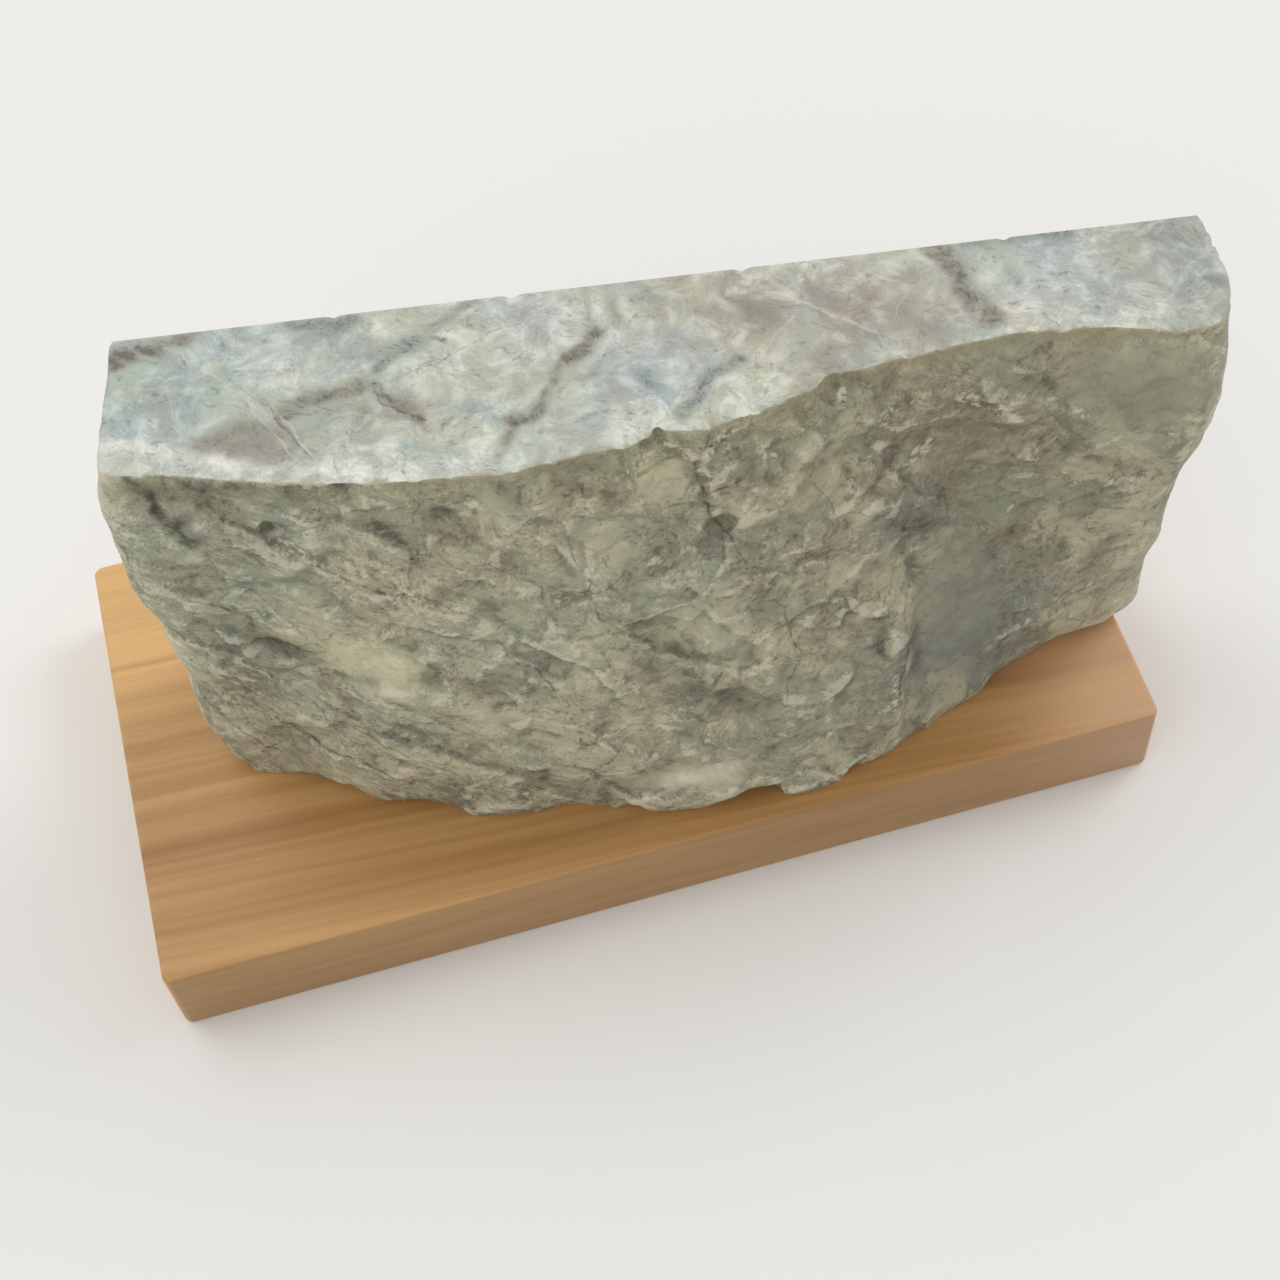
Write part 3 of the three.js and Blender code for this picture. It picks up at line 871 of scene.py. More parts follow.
# %% Patches of the skin
SKIN_PATCHES = [
    ("blue green", 0.8, 11, [(4, 58), (14, 50), (8, 34)]),
    ("blue green", 0.6, 7, [(22, 56), (20, 65)]),
    ("beige", 0.8, 6, [(27, 53), (34, 48), (30, 43)]),
    ("yellow", 0.9, 5, [(22, 35), (28, 37), (29, 31)]),
    ("olive", 0.7, 2.4, [(32, 70), (45, 69.5), (58, 69)]),
    ("moss", 0.7, 2.6, [(-2, 69.5), (8, 69), (28, 69.5)]),
    ("purple", 0.5, 2.2, [(11, 70.5), (15.5, 70.5)]),
    ("beige", 0.6, 5, [(51, 63), (56, 57), (57, 50), (50, 47)]),
    ("blue green", 0.6, 6, [(37, 40), (48, 41)]),
    ("blue green", 0.5, 5, [(19, 25), (30, 23)]),
    ("purple", 0.6, 3, [(10, 38), (14, 35)]),
    ("purple", 0.5, 2, [(3.5, 28)]),
    ("brown", 0.5, 4, [(3, 8), (12, 7)]),
    ("beige", 0.5, 6, [(42, 20), (52, 16)]),
    ("olive", 0.6, 3.5, [(58.5, 67.5), (69, 68.5), (83, 67)]),
    ("blue green", 0.5, 6, [(57, 50), (64.5, 44)]),
    ("blue green", 0.6, 4.5, [(71.7, 50.4), (68.5, 53)]),
    ("purple", 0.7, 2.5, [(58.6, 34.7), (65, 29), (73, 22)]),
    ("blue green", 0.6, 4, [(75.6, 14.6), (82, 10)]),
    ("beige", 0.6, 6, [(85, 45), (82, 37), (83, 27)]),
    ("olive", 0.6, 5, [(80, 58), (86, 63)]),
    ("brown", 0.7, 10, [(92, 60), (106, 56)]),
    ("grey", 0.9, 11, [(106, 30), (108, 15)]),
    ("grey", 0.8, 12, [(128, 58), (131, 42)]),
    ("dun", 0.6, 9, [(104, 46), (116, 44)]),
    ("slate", 0.6, 3, [(94.5, 47.5), (98, 44), (100, 41.5)]),
    ("rust", 0.8, 2.0, [(113.5, 33.5), (117.7, 34.7)]),
    ("pink", 0.7, 5, [(122, 21), (131, 12)]),
    ("slate", 0.5, 5, [(115.5, 20.4), (106.8, 12)]),
    ("grey", 0.6, 4, [(115, 7), (107, 10)]),
    ("rust", 0.5, 1.0, [(82, 70.4), (100, 70.6), (121, 70)]),
    # The next four patches, three wide dun ones and a wide slate one, are painted shade: they
    # darken the right and lower parts of the front, which turn away from the light.
    ("dun", 0.35, 18, [(82, 52), (84, 16)]),
    ("dun", 0.25, 12, [(52, 12), (70, 16)]),
    ("slate", 0.5, 9, [(100, 20), (110, 8)]),
    ("dun", 0.25, 20, [(112, 60), (116, 20)]),
    ("facet", 1.0, 3.2, [(60.5, 6.8), (66, 9.5), (72, 9)]),
]
SKIN_DARKS = [
    (1.0, 1.1, [(2.2, 70.4), (4.3, 67.8), (4.8, 66.4)]),
    (1.1, 1.4, [(3.9, 67.2), (5.2, 62.6), (6.3, 59.2)]),
    (0.8, 0.9, [(13.1, 63.6), (15.1, 61.4), (17.8, 60.1)]),
    (0.9, 1.8, [(30.4, 62.6), (32.5, 60.1), (35, 56.9)]),
    (0.7, 1.2, [(37.1, 65.3), (39.4, 64.2)]),
    (0.9, 2.0, [(10.5, 38.2), (11.8, 36.2), (14.4, 35.2)]),
    (0.6, 1.2, [(3.2, 28.4), (4.5, 28.1)]),
    (0.7, 0.9, [(18, 23.1), (21, 21.8), (26.4, 20.7), (29.8, 18), (34.1, 14.8)]),
    (0.6, 0.9, [(34.1, 14.8), (40.5, 13.1), (44.9, 8.9), (49.3, 4)]),
    (0.8, 1.7, [(94.3, 47.3), (98.1, 43.8), (100, 41.3)]),
    (0.8, 1.4, [(45.8, 71), (47.7, 66.9)]),
    (0.7, 2.1, [(58.9, 43.8), (62.8, 36.6), (68.1, 30.2), (73.1, 21.4)]),
    (0.6, 1.4, [(59, 33.5), (63.6, 36.6)]),
    (0.6, 1.3, [(109.8, 30.3), (110.7, 24.7)]),
    (0.6, 1.3, [(75, 0), (76, 2)]),
    (0.6, 1.2, [(96.8, 27), (97.5, 21.6), (96.8, 15.4)]),
    (0.9, 1.6, [(9, 70.6), (11, 69.4)]),
    (0.8, 1.2, [(14, 70.4), (17, 70.6)]),
    (0.7, 1.0, [(21.6, 69.6)]),
    (0.9, 1.3, [(26.2, 70.6), (27.4, 69.4)]),
    (0.7, 0.9, [(37.9, 70.4)]),
    (0.6, 1.0, [(84, 56), (86, 60)]),
]
SKIN_CRACKS = [
    (0.9, 0.25, [(66.3, 70.8), (70.5, 66.1), (71.3, 60.6), (72.1, 55.1), (75.5, 48.9)]),
    (0.8, 0.2, [(42.5, 41.3), (43.6, 37.9), (47.2, 34.2), (50.7, 28.3), (49.5, 21.3)]),
    (0.8, 0.2, [(60, 38.9), (56.9, 44.4), (54.9, 51.2), (53.8, 57.9), (52, 60.5)]),
    (0.7, 0.2, [(57.4, 19.2), (54, 13.2), (49.3, 4)]),
    (0.7, 0.2, [(42, 16), (51, 12), (58, 4)]),
    (0.8, 0.2, [(36.7, 70.5), (36.2, 65), (35.6, 59.7)]),
    (0.8, 0.25, [(2.1, 49.8), (5.2, 46.5), (8.9, 43.2), (12.8, 40.6)]),
    (0.7, 0.2, [(19.2, 41.5), (19.9, 39.1), (22, 42)]),
    (0.7, 0.2, [(97, 35), (96.8, 27), (97.5, 21.6), (96.8, 15.4), (96.1, 7), (94.7, 5.3)]),
    (0.8, 0.25, [(0.6, 17.2), (5.9, 8.5), (15, 4.5)]),
    (0.8, 0.25, [(5.3, 23.1), (11.8, 13.3), (21, 11.2), (29.6, 3.8)]),
    (0.8, 0.25, [(11.1, 28.5), (18, 20.6), (26.6, 15.9), (35.1, 8.7), (41.9, 3.7)]),
    (0.7, 0.2, [(84, 60), (88, 52), (94, 48)]),
    (0.8, 0.2, [(52, 47), (58, 49.5), (60.5, 53)]),
    (0.8, 0.2, [(19, 58), (24, 53), (33, 50.5), (41, 46)]),
    (0.7, 0.2, [(63, 62), (70, 60.5), (80, 64)]),
    (0.7, 0.2, [(74, 44), (80, 38), (82, 28), (79, 20)]),
    (0.6, 0.2, [(44, 57), (49, 51), (50, 45)]),
]
SKIN_LAYERS = [
    (1.0, 11, [(6, 16), (22, 12), (38, 7)]),
    (0.7, 10, [(10, 30), (30, 20)]),
    (0.5, 9, [(6, 60), (16, 50), (8, 42)]),
]

# %% Put the skin's marks on the vertices
HOLLOW_PASSES = 9
HOLLOW_DEPTH = 0.3
OLIVE_RIM = {"from": 22, "to": 42, "reach": 1.8}


def hollowness(piece, passes):
    """How far each vertex lies below the skin around it, as a smoothed copy shows."""
    start = places_of(piece)
    return np.sum((averaged(piece, start, passes) - start) * normals_of(piece), axis=1)


skin_loose = drifted(drifted(places, 6, 1.6, 100), 1.8, 0.6, 104)[:, [0, 2]]
skin_close = drifted(drifted(places, 4, 0.9, 108), 1.3, 0.35, 112)[:, [0, 2]]
skin_colours = clouded(skin_loose, SKIN_PAINTS["ground"], SKIN_PAINTS, SKIN_PATCHES)
keep_colour(stone, "skin_patches", skin_colours)
keep_value(stone, "skin_darks", strongest(skin_loose, SKIN_DARKS))
keep_lines(stone, "skin_cracks", skin_close, SKIN_CRACKS)
keep_value(stone, "skin_crumbs", strongest(skin_close, CRUMBS))
keep_value(stone, "skin_layers", strongest(skin_loose, SKIN_LAYERS))
keep_value(stone, "skin_smooth", smoothness(skin_close))
olive = ease(places[:, 0], OLIVE_RIM["from"], OLIVE_RIM["to"])
keep_value(stone, "olive_rim", olive * np.exp(-((from_rim / OLIVE_RIM["reach"]) ** 2)))

wavy = wavy_places(places)
big_flake, small_flake = (
    flakes(layered(wavy), flake["size"], int(40 * flake["size"])) for flake in SKIN_FLAKES[:2]
)
keep_value(stone, "flake_tone", 0.6 * big_flake[2] + 0.4 * small_flake[2])
keep_value(stone, "flake_border", np.minimum(big_flake[1], 1.4 * small_flake[1]))
small_hollows = hollowness(stone, HOLLOW_PASSES)
keep_value(stone, "hollow", np.clip(0.5 + small_hollows / HOLLOW_DEPTH, 0, 1))
print("hollows from", round(small_hollows.min(), 2), "to", round(small_hollows.max(), 2), "mm")

stone.data.transform(on_the_board)
stone.data.update()

# %% [markdown]
# ## Building a finish node by node
#
# A finish here is a Principled surface whose colour, roughness and bump are fed by small nodes.
# The helper adds one node at a time, hands its output on and remembers the colour mixed so far,
# so that a recipe reads from top to bottom like coats of paint. Patterns read Object
# coordinates or the stone's own attributes.

# %% The finish helper
class Finish:
    """A material built node by node. `colour` holds the colour that is mixed so far."""

    def __init__(self, name):
        self.material = bpy.data.materials.new(name)
        self.material.use_nodes = True
        self.tree = self.material.node_tree
        self.surface = self.tree.nodes["Principled BSDF"]
        self.colour = None

    def plug(self, socket, value):
        if isinstance(value, bpy.types.NodeSocket):
            self.tree.links.new(value, socket)
        else:
            socket.default_value = value

    def add(self, kind, inputs, output=0, **settings):
        node = self.tree.nodes.new(kind)
        for name, value in settings.items():
            setattr(node, name, value)
        for socket, value in inputs.items():
            self.plug(node.inputs[socket], value)
        return node.outputs[output]

    def mark(self, name, output="Fac"):
        return self.add("ShaderNodeAttribute", {}, output, attribute_name=name)

    def math(self, operation, *values):
        return self.add("ShaderNodeMath", dict(enumerate(values)), operation=operation)

    def vector(self, operation, *values):
        return self.add("ShaderNodeVectorMath", dict(enumerate(values)), operation=operation)

    def noise(self, place, size, detail=4, rough=0.55, output="Fac"):
        inputs = {"Vector": place, "Scale": 1 / size, "Detail": detail, "Roughness": rough}
        return self.add("ShaderNodeTexNoise", inputs, output)

    def turned(self, place, turn):
        """The place turned about the three axes."""
        return self.add("ShaderNodeMapping", {"Vector": place, "Rotation": turn})

    def between(self, value, low, high, least=0.0, most=1.0):
        """Eases from least to most while the value goes from low to high."""
        inputs = {"Value": value, "From Min": low, "From Max": high}
        inputs |= {"To Min": least, "To Max": most}
        return self.add("ShaderNodeMapRange", inputs, interpolation_type="SMOOTHSTEP")

    def times(self, *values):
        product = values[0]
        for value in values[1:]:
            product = self.math("MULTIPLY", product, value)
        return product

    def mix(self, share, under, over):
        inputs = {0: share, 6: under, 7: over}
        return self.add("ShaderNodeMix", inputs, 2, data_type="RGBA")

    def brighten(self, colour, factor):
        return self.add("ShaderNodeVectorMath", {0: colour, 3: factor}, operation="SCALE")

    def drift(self, place, size, by):
        """The place moved about by soft noise, so that patterns on it lose their evenness."""
        move = self.noise(place, size, 3, 0.55, "Color")
        centred = self.vector("SUBTRACT", move, (0.5, 0.5, 0.5))
        return self.vector("MULTIPLY_ADD", centred, (by, by, by), place)

    def ragged(self, mark, grain, low, high, by=1.0):
        """A soft mark with its edge broken up by a grain, cut off between low and high."""
        rough = self.math("MULTIPLY_ADD", grain, by, -0.5 * by)
        return self.between(self.math("ADD", mark, rough), low, high)

    def line(self, name, grain, by):
        """A thin line kept on the vertices, wobbling and breaking off with a grain."""
        wobble = self.math("MULTIPLY_ADD", grain, by, -0.5 * by)
        away = self.math("ABSOLUTE", self.math("ADD", self.mark(name), wobble))
        broken = self.between(grain, 0.38, 0.56, 0.1, 1.0)
        return self.times(self.between(away, 1.3, 0.4), self.mark(name + "_strength"), broken)

    def hairs(self, soft_noise, level, grain):
        """Hairlines where a soft noise passes a level, broken off here and there by a grain."""
        away = self.math("ABSOLUTE", self.math("SUBTRACT", soft_noise, level))
        return self.times(self.between(away, 0.012, 0.003), self.between(grain, 0.44, 0.56))

    def shade(self, factor):
        """Makes the colour so far darker or lighter."""
        self.colour = self.brighten(self.colour, factor)

    def tone(self, noise, dark, light):
        """Shades by a noise, whose values seldom leave the span from 0.3 to 0.7."""
        self.shade(self.between(noise, 0.3, 0.7, dark, light))

    def stain(self, share, strength, over):
        """Lays another colour over the one so far, by a share and a strength."""
        self.colour = self.mix(self.math("MULTIPLY", share, strength), self.colour, over)

    def give(self, name, value):
        """Feeds one input of the surface."""
        self.plug(self.surface.inputs[name], value)

    def bump(self, height, strength, distance):
        inputs = {"Height": height, "Strength": strength, "Distance": distance}
        self.give("Normal", self.add("ShaderNodeBump", inputs, "Normal"))


def colour(red, green, blue):
    return (*paint(red, green, blue), 1)


print("finish helper ready")

# %% [markdown]
# ## The jade's finish, part one: what both kinds of face share
#
# Jade is a felt of tiny crystals, so no face of it is one colour. Every noise of the finish
# reads the places kept in `swirled`, so that it drifts and curls as the rock does. A dark band
# is built up from a haze, a core that thickens and thins, and loose grains.

# %% Places in the stone
BAND_TURN = radians(-50)
STROKE_TURN = radians(22)


def jade_finish(name):
    """A finish with the noises that both faces of the jade share."""
    jade = Finish(name)
    jade.place = jade.mark("swirled", "Vector")
    jade.mottle = jade.noise(jade.place, 2.6, 5, 0.62)
    jade.speckle = jade.noise(jade.place, 0.5, 4, 0.75)
    jade.fleck = jade.noise(jade.place, 1.2, 5, 0.7)
    three = jade.mark("three_clouds", "Color")
    split = jade.add("ShaderNodeSeparateColor", {"Color": three}, "Red").node
    jade.clouds = [split.outputs[i] for i in range(3)]
    return jade


def streaks(jade, turn, stretch, size):
    """Noise drawn out into strokes that run one way across the stone's top."""
    place = jade.vector("MULTIPLY", jade.turned(jade.place, (0, 0, turn)), (stretch, 1.3, 1.3))
    return jade.noise(place, size, 4, 0.68)


def smoky_band(jade, mark, grain, haze, core):
    """A dark band: a soft uneven haze, a core that a grain thickens and thins, and grains."""
    patchy = jade.times(mark, jade.between(jade.mottle, 0.3, 0.64, 0.4, 1.2))
    jade.stain(jade.between(patchy, 0.0, 0.8), 0.85, haze)
    thick = jade.times(patchy, jade.between(grain, 0.34, 0.66, 0.35, 1.4))
    jade.stain(jade.between(thick, 0.3, 1.3), 0.65, core)
    grains = jade.times(jade.between(mark, 0.15, 0.7), jade.between(jade.speckle, 0.54, 0.66))
    jade.stain(grains, 0.8, core)


print("helpers for the jade ready")

# %% [markdown]
# ## The jade's finish, part two: the sawn faces
#
# The painted clouds come first, and get mottling and fine strokes. Then come stains of three
# other tones, dark flecks, hairlines, the dark bands, the cream veins and the cracks, and at
# last an olive tint along the rim, where the weathered skin begins.

# %% Sawn colour
sawn = jade_finish("jade_sawn")
mottle, speckle, fleck = sawn.mottle, sawn.speckle, sawn.fleck
one_cloud, two_cloud, three_cloud = sawn.clouds
band_fibres = streaks(sawn, BAND_TURN, 0.4, 1.0)
strokes = streaks(sawn, STROKE_TURN, 0.3, 0.8)

band_grain = sawn.math("MULTIPLY_ADD", band_fibres, 0.2, sawn.math("MULTIPLY", fleck, 0.8))
sawn.colour = sawn.mark("sawn_clouds", "Color")
sawn.tone(mottle, 0.8, 1.13)
sawn.tone(strokes, 0.88, 1.1)
sawn.tone(speckle, 0.88, 1.1)
sawn.stain(sawn.between(one_cloud, 0.5, 0.66), 0.35, colour(158, 178, 176))
sawn.stain(sawn.between(two_cloud, 0.5, 0.66), 0.4, colour(160, 156, 142))
sawn.stain(sawn.between(three_cloud, 0.5, 0.66), 0.35, colour(196, 200, 174))
sawn.stain(sawn.between(mottle, 0.48, 0.82), 0.6, colour(226, 227, 216))
wisp_places = sawn.between(mottle, 0.58, 0.42)
dark_strokes = sawn.times(sawn.between(strokes, 0.54, 0.66), wisp_places)
sawn.stain(dark_strokes, 0.55, colour(110, 122, 118))
dark_flecks = sawn.times(sawn.between(fleck, 0.58, 0.7), wisp_places)
sawn.stain(dark_flecks, 0.6, colour(104, 106, 98))
pale_hairs = sawn.hairs(three_cloud, 0.5, fleck)
sawn.stain(pale_hairs, 0.15, colour(226, 224, 210))
dark_hairs = sawn.hairs(one_cloud, 0.48, fleck)
sawn.stain(dark_hairs, 0.3, colour(112, 114, 106))

slate_mark, band_mark = sawn.mark("sawn_slates"), sawn.mark("sawn_bands")
smoky_band(sawn, slate_mark, band_grain, colour(140, 148, 142), colour(66, 72, 70))
smoky_band(sawn, band_mark, band_grain, colour(142, 138, 124), colour(80, 76, 66))
sawn.stain(sawn.line("sawn_veins", fleck, 2.6), 0.55, colour(222, 214, 197))
sawn.stain(sawn.line("sawn_cracks", fleck, 3.0), 0.75, colour(86, 78, 68))
rim_tint = sawn.between(sawn.math("MULTIPLY_ADD", mottle, 3.4, sawn.mark("rim")), 2.2, 1.2)
sawn.stain(rim_tint, 0.6, colour(160, 154, 124))
sawn.give("Base Color", sawn.colour)
sawn.give("Roughness", sawn.between(mottle, 0.3, 0.7, 0.34, 0.46))
print("sawn faces:", len(sawn.tree.nodes), "nodes")

# %% [markdown]
# ## The jade's finish, part three: the broken skin
#
# The broken skin is duller and yellower. Each flake has a tone of its own and its borders show
# as faint seams, thin layers show at the lower left as stripes that dip to the right, and the
# few flakes that came away clean stay smooth. Hollows are darkened as painted shade, raised
# edges are worn pale, and the crumbly places are white grit with dark grains of painted shade.

# %% Skin colour
skin = jade_finish("jade_broken_skin")
mottle, speckle, fleck = skin.mottle, skin.speckle, skin.fleck
one_cloud, two_cloud, three_cloud = skin.clouds
along_layers = skin.vector("MULTIPLY", skin.mark("layered", "Vector"), (0.25, 1, 1))
layer_noise = skin.noise(along_layers, 1.4, 4, 0.6)
fine = skin.noise(skin.place, 1.5, 6, 0.74)

skin.colour = skin.mark("skin_patches", "Color")
skin.tone(mottle, 0.86, 1.12)
skin.shade(skin.between(skin.mark("flake_tone"), 0, 1, 0.9, 1.09))
skin.tone(layer_noise, 0.93, 1.07)
skin.tone(fine, 0.86, 1.14)
skin.tone(speckle, 0.73, 1.23)
skin.stain(skin.between(one_cloud, 0.5, 0.64), 0.45, colour(164, 171, 148))
skin.stain(skin.between(two_cloud, 0.5, 0.64), 0.55, colour(152, 143, 121))
skin.stain(skin.between(three_cloud, 0.5, 0.64), 0.5, colour(222, 214, 180))

at_border = skin.between(skin.mark("flake_border"), 0.5, 0.0)
seams = skin.times(at_border, skin.between(mottle, 0.42, 0.62))
skin.stain(seams, 0.4, colour(110, 100, 84))
skin.stain(skin.hairs(one_cloud, 0.5, fleck), 0.3, colour(84, 78, 64))
layers = skin.times(skin.mark("skin_layers"), skin.between(layer_noise, 0.5, 0.6))
skin.stain(layers, 0.5, colour(122, 116, 96))
dark_wisps = skin.between(skin.math("MULTIPLY_ADD", two_cloud, 0.4, fleck), 0.75, 0.88)
skin.stain(dark_wisps, 0.55, colour(92, 88, 72))
dark_specks = skin.times(skin.between(speckle, 0.6, 0.7), skin.between(mottle, 0.6, 0.44))
skin.stain(dark_specks, 0.7, colour(80, 74, 58))
pale_bits = skin.times(skin.between(fine, 0.58, 0.7), skin.between(fleck, 0.42, 0.56))
skin.stain(pale_bits, 0.5, colour(236, 230, 206))
patch_colour = skin.mark("skin_patches", "Color")
smooth_colour = skin.brighten(patch_colour, skin.between(fine, 0.3, 0.7, 0.9, 1.08))
skin.stain(skin.mark("skin_smooth"), 0.75, smooth_colour)

hollow = skin.mark("hollow")
# Painted shade: the skin is darkened in its hollows.
skin.shade(skin.between(hollow, 0.5, 1.0, 1, 0.68))
worn_edge = skin.ragged(skin.math("SUBTRACT", 1.0, hollow), speckle, 0.66, 0.95, 0.9)
skin.stain(worn_edge, 0.55, colour(238, 232, 208))

crumb_grain = skin.math("MULTIPLY_ADD", fleck, 0.8, skin.math("MULTIPLY", fine, 1.2))
dark_mark = skin.mark("skin_darks")
dark_haze = skin.times(dark_mark, skin.between(mottle, 0.3, 0.64, 0.5, 1.2))
skin.stain(dark_haze, 0.5, colour(108, 104, 86))
dark_clots = skin.between(skin.math("MULTIPLY_ADD", dark_mark, 0.28, crumb_grain), 1.1, 1.36)
skin.stain(skin.times(dark_clots, dark_haze), 0.75, colour(60, 58, 48))
skin.stain(skin.line("skin_cracks", fleck, 3.4), 0.7, colour(66, 60, 48))
crumbs = skin.between(skin.mark("skin_crumbs"), 0.25, 0.6)
pale_crumbs = skin.times(crumbs, skin.between(crumb_grain, 1.0, 1.1))
# Painted shade: dark grains among the crumbs stand for the small shadows between them.
painted_crumb_shade = skin.times(crumbs, skin.between(crumb_grain, 0.94, 0.84))
skin.stain(pale_crumbs, 0.7, colour(238, 231, 208))
skin.stain(painted_crumb_shade, 0.4, colour(96, 88, 72))
rim_glow = skin.ragged(skin.mark("olive_rim"), mottle, 0.3, 0.9, 1.8)
skin.stain(rim_glow, 0.5, colour(172, 164, 126))
skin.give("Base Color", skin.colour)
print("broken skin:", len(skin.tree.nodes), "nodes")

# %% [markdown]
# ## The jade's finish, part four: gloss and grain
#
# The sawn faces were rubbed to a satin gloss, and the skin is dull. Each face of the mesh
# already carries one of the two finishes, so the line between them is as crisp as on the
# stone. In both, a little light passes just under the surface. Grain too fine for the mesh is
# left to a bump.

# %% Surface of the jade
SKIN_GRAIN_DEPTH = 0.6 * MM
LIGHT_PASSES = 1.0 * MM

skin.give("Roughness", skin.between(fine, 0.3, 0.7, 0.62, 0.85))
skin.bump(skin.math("MULTIPLY_ADD", speckle, 0.5, fine), 1.0, SKIN_GRAIN_DEPTH)
# The order follows the face numbers SKIN_FINISH and SAWN_FINISH.
for jade in (skin, sawn):
    jade.give("Subsurface Weight", 0.1)
    jade.give("Subsurface Radius", (1.0, 1.0, 0.8))
    jade.give("Subsurface Scale", LIGHT_PASSES)
    jade.give("Specular IOR Level", 0.5)
    stone.data.materials.append(jade.material)
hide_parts("jade_stone")
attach(stone, "root")
print("finishes on the stone:", [material.name for material in stone.data.materials])

# %% [markdown]
# ## The board
#
# The board is one plain block of light brown wood, planed and lightly sanded: its upright
# corners are a little rounder than its long edges. A cube is set to the board's size, its four
# upright edges are bevelled first, and all level edges after that.

# %% Board block
BOARD_SIZE = (147, 73, 14.5)
BOARD_CORNER_RADIUS = 1.4
BOARD_EDGE_ROUNDING = 0.6

bpy.ops.object.select_all(action="DESELECT")
bpy.ops.mesh.primitive_cube_add(size=1, location=(0, 0, BOARD_SIZE[2] / 2 * MM))
board = bpy.context.object
board.name = "planed_board"
board.scale = [side * MM for side in BOARD_SIZE]
bpy.ops.object.transform_apply(location=True, rotation=True, scale=True)


def select_edges(piece, wanted):
    edit(piece, "EDGE")
    done_editing()
    corners = places_of(piece)
    for edge in piece.data.edges:
        one, other = (corners[i] for i in edge.vertices)
        edge.select = bool(wanted(one, other))
    bpy.ops.object.mode_set(mode="EDIT")


def upright(one, other):
    return abs(one[2] - other[2]) > 5 * MM


def level_rim(one, other):
    low, high = sorted((one[2], other[2]))
    return high - low < 0.01 * MM and (low > 14 * MM or high < MM)


select_edges(board, upright)
bpy.ops.mesh.bevel(offset=BOARD_CORNER_RADIUS * MM, segments=5, affect="EDGES")
done_editing()
select_edges(board, level_rim)
bpy.ops.mesh.bevel(offset=BOARD_EDGE_ROUNDING * MM, segments=4, affect="EDGES")
done_editing()
select_only(board)
bpy.ops.object.shade_smooth_by_angle(angle=radians(35))
print("board:", len(board.data.polygons), "faces")

# %% [markdown]
# ## The board's finish
#
# The wood is light brown with soft, slightly wavy growth lines along its length and short fine
# pores. The broad lines come from a short list of places across the board and how dark it is
# there, and soft noise bends them and adds finer ones. All of it fills the whole block, so
# that the lines run on down the front edge and come out at the ends. The list also gets darker
# towards the front, which is painted shade, darkest just in front of the stone. The right end
# is painted paler, as painted light, and the front edge darker, as painted shade.

# %% Wood
# A tone is (place across the board, darkness). The growth lines are the wood's own, but the
# darkness also rises towards the front as painted shade, most just in front of the stone.
GRAIN_AND_SHADE_TONES = [
    (-37, 0.5), (-31, 0.58), (-27, 0.53), (-22.5, 0.6), (-20.5, 0.74), (-18, 0.58), (-15, 0.6),
    (-12, 0.53), (-10, 0.59), (-8.5, 0.52), (-7, 0.56), (-5.5, 0.48), (-3.5, 0.53), (-1, 0.43),
    (2, 0.43), (4.5, 0.38), (6.5, 0.46), (9, 0.36), (11.6, 0.3), (12.6, 0.5), (13.6, 0.26),
    (18, 0.17), (22, 0.2), (26, 0.14), (31, 0.17), (37, 0.14),
]
GROWTH_SPAN = 80
RING_LEAN = 0.4
GRAIN_TURN = radians(3.5)
# Painted light on the board's right end, from x 44 to 72 mm.
PAINTED_END_LIGHT = (44, 72)
# Painted shade on the board's front edge, below y -36.1 mm.
PAINTED_FRONT_SHADE = (-36.1, -36.45)

wood = Finish("light_brown_wood")
object_place = wood.add("ShaderNodeTexCoord", {}, "Object")
board_place = wood.vector("MULTIPLY", object_place, (1 / MM, 1 / MM, 1 / MM))
wood_place = wood.turned(board_place, (0, 0, GRAIN_TURN))
bent = wood.drift(wood.vector("MULTIPLY", wood_place, (0.3, 1, 1)), 24, 4.0)
wood_split = wood.add("ShaderNodeSeparateXYZ", {0: bent}, 1).node
leaning = wood.math("MULTIPLY_ADD", wood_split.outputs["Z"], RING_LEAN, wood_split.outputs["Y"])
leaning = wood.math("ADD", leaning, -BOARD_SIZE[2] * RING_LEAN)
share_across = wood.math("MULTIPLY_ADD", leaning, 1 / GROWTH_SPAN, 0.5)
grain_and_shade = wood.add("ShaderNodeValToRGB", {"Fac": share_across})
stops = grain_and_shade.node.color_ramp.elements
while len(stops) > 1:
    stops.remove(stops[0])
stops[0].position, stops[0].color = 0, (0.5, 0.5, 0.5, 1)
for across, tone in GRAIN_AND_SHADE_TONES:
    stops.new(across / GROWTH_SPAN + 0.5).color = (tone, tone, tone, 1)

fine_lines = wood.noise(wood.vector("MULTIPLY", bent, (0.04, 1, 1)), 1.5, 3, 0.5)
patches = wood.noise(wood.vector("MULTIPLY", bent, (0.25, 1, 1)), 14, 3, 0.5)
fibre = wood.noise(wood.vector("MULTIPLY", wood_place, (0.05, 1, 1)), 0.4, 3, 0.62)
pores = wood.noise(wood.vector("MULTIPLY", wood_place, (0.2, 1, 1)), 0.5, 2, 0.6)
darkness = wood.math("ADD", grain_and_shade, wood.between(fine_lines, 0.35, 0.65, -0.05, 0.05))
darkness = wood.math("ADD", darkness, wood.between(patches, 0.3, 0.7, -0.08, 0.08))
wood.colour = wood.mix(wood.between(darkness, 0, 1), colour(228, 182, 120), colour(138, 88, 28))
wood.tone(fibre, 0.98, 1.02)
wood.stain(wood.between(pores, 0.62, 0.76), 0.12, colour(120, 80, 46))

board_split = wood.add("ShaderNodeSeparateXYZ", {0: board_place}, 0).node
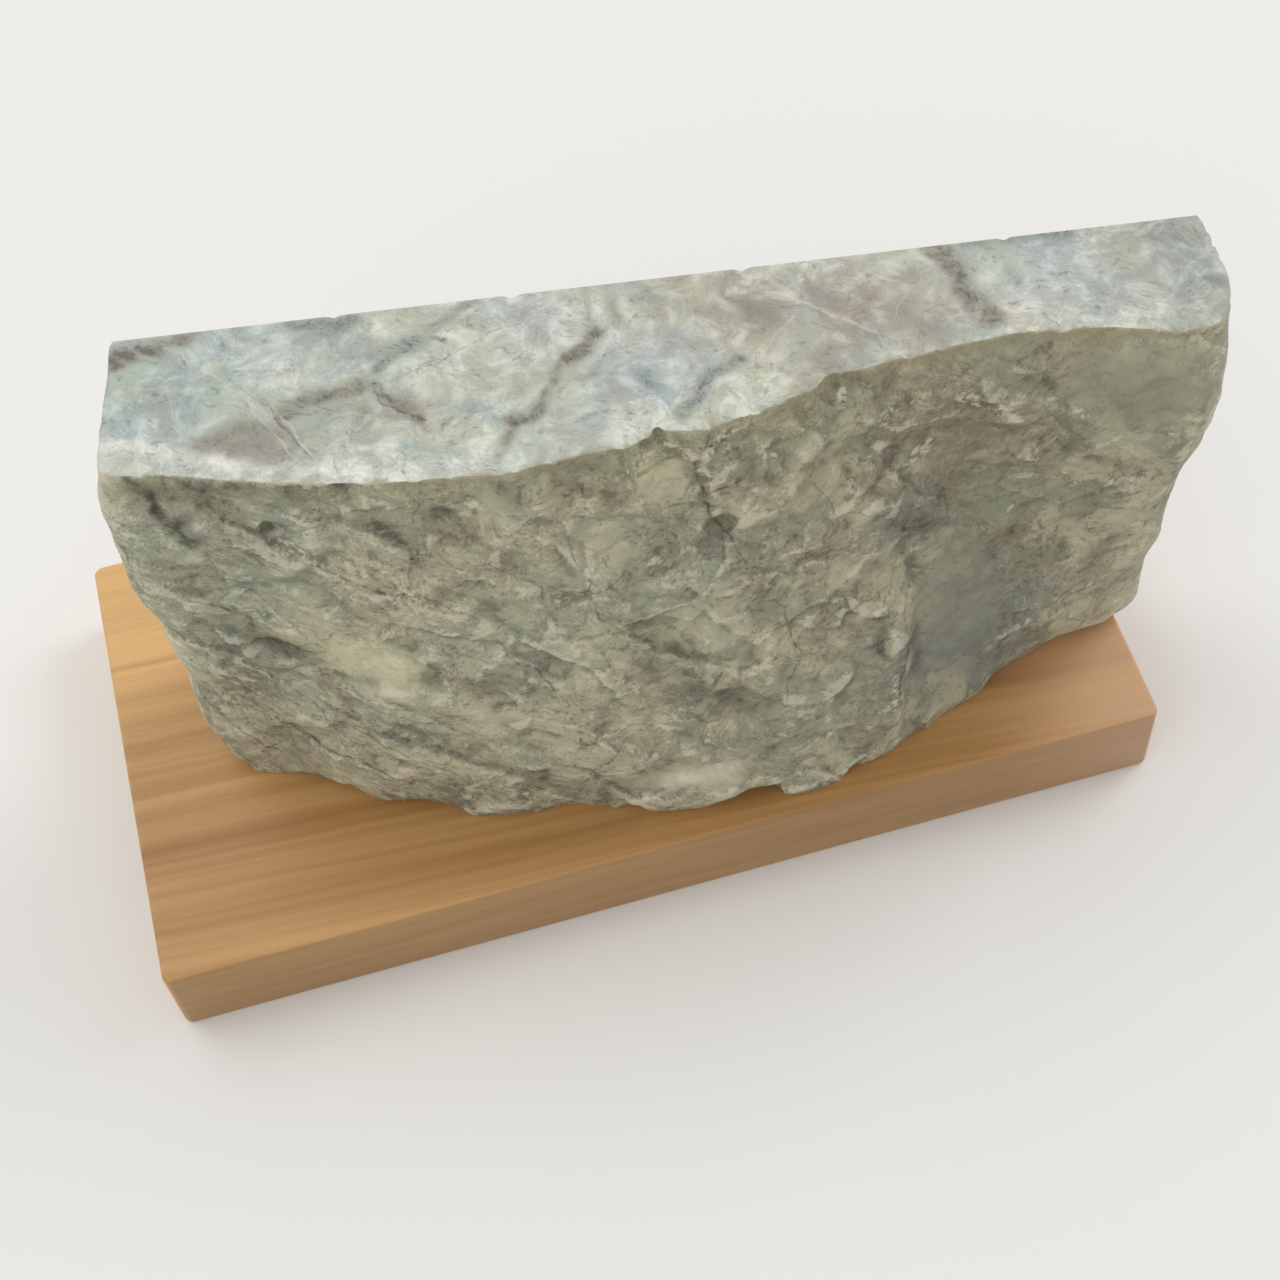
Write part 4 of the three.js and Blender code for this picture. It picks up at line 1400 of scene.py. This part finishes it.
# Painted light: the right end of the board is painted paler and pinker, as where light falls on
# it.
painted_end_light = wood.between(board_split.outputs["X"], *PAINTED_END_LIGHT)
wood.stain(painted_end_light, 0.6, colour(226, 182, 142))
# Painted shade: the front edge of the board is darkened, as it faces away from the light.
painted_front_shade = wood.between(board_split.outputs["Y"], *PAINTED_FRONT_SHADE)
wood.stain(painted_front_shade, 0.45, colour(132, 104, 72))
wood.give("Base Color", wood.colour)
wood.give("Roughness", wood.between(fibre, 0.3, 0.7, 0.38, 0.5))
wood.bump(fibre, 0.25, 0.1 * MM)
board.data.materials.clear()
board.data.materials.append(wood.material)
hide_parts("wooden_board")
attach(board, "root")
print("wood finish:", len(wood.tree.nodes), "nodes")

# %% [markdown]
# ## Floor, light and camera
#
# The object lies on a pale table in soft daylight. A large floor, a pale sky and three big
# soft lamps give that: the two at the back light the sawn top and throw soft shadows to the
# front, and the one at the front left keeps the broken front from going dark. The camera
# looks down from the front.

# %% Floor
bpy.ops.object.select_all(action="DESELECT")
bpy.ops.mesh.primitive_plane_add(size=6, location=(0, 0, 0))
table_top = bpy.context.object
table_top.name = "pale_table"
pale = Finish("pale_table_finish")
pale.give("Base Color", colour(240, 239, 236))
pale.give("Roughness", 0.6)
table_top.data.materials.append(pale.material)

# %% Light
scene = bpy.context.scene
sky = bpy.data.worlds.new("soft_sky")
scene.world = sky
sky.use_nodes = True
sky.node_tree.nodes["Background"].inputs["Color"].default_value = (0.99, 0.99, 0.99, 1)
sky.node_tree.nodes["Background"].inputs["Strength"].default_value = 0.62


def soft_lamp(name, place, across, power, tint):
    """A round lamp that looks at the middle of the table."""
    lamp_data = bpy.data.lights.new(name, "AREA")
    lamp_data.shape = "DISK"
    lamp_data.size = across
    lamp_data.energy = power
    lamp_data.color = tint
    lamp = bpy.data.objects.new(name, lamp_data)
    scene.collection.objects.link(lamp)
    lamp.location = place
    lamp.rotation_euler = (-lamp.location).to_track_quat("-Z", "Y").to_euler()


soft_lamp("back_left_lamp", (-0.5, 0.45, 1.0), 0.9, 2.9, (1.0, 0.99, 0.97))
soft_lamp("back_right_lamp", (0.9, 0.3, 0.85), 0.7, 3.7, (1.0, 0.99, 1.0))
soft_lamp("front_left_lamp", (-0.7, -0.5, 0.8), 1.2, 2.0, (1.0, 0.99, 0.96))
scene.view_settings.view_transform = "Standard"
print("lamps:", sorted(lamp.name for lamp in bpy.data.lights))

# %% Camera
CAMERA_AT = Vector((-25.51, -178.81, 297.46)) * MM
LOOK_AZIMUTH, LOOK_DOWN, LOOK_ROLL = radians(9.689), radians(57.598), radians(-6.506)
LENS = 62.8

camera_data = bpy.data.cameras.new("camera")
camera_data.lens = LENS
camera_data.sensor_width = 36
camera_data.clip_start, camera_data.clip_end = 0.01, 20
camera = bpy.data.objects.new("camera", camera_data)
scene.collection.objects.link(camera)
look = Vector((
    cos(LOOK_DOWN) * sin(LOOK_AZIMUTH),
    cos(LOOK_DOWN) * cos(LOOK_AZIMUTH),
    -sin(LOOK_DOWN),
))
camera.location = CAMERA_AT
roll = Matrix.Rotation(LOOK_ROLL, 4, "Z").to_quaternion()
camera.rotation_euler = (look.to_track_quat("-Z", "Y") @ roll).to_euler()
scene.camera = camera
print("camera", round(CAMERA_AT.length, 3), "m from the board's middle")
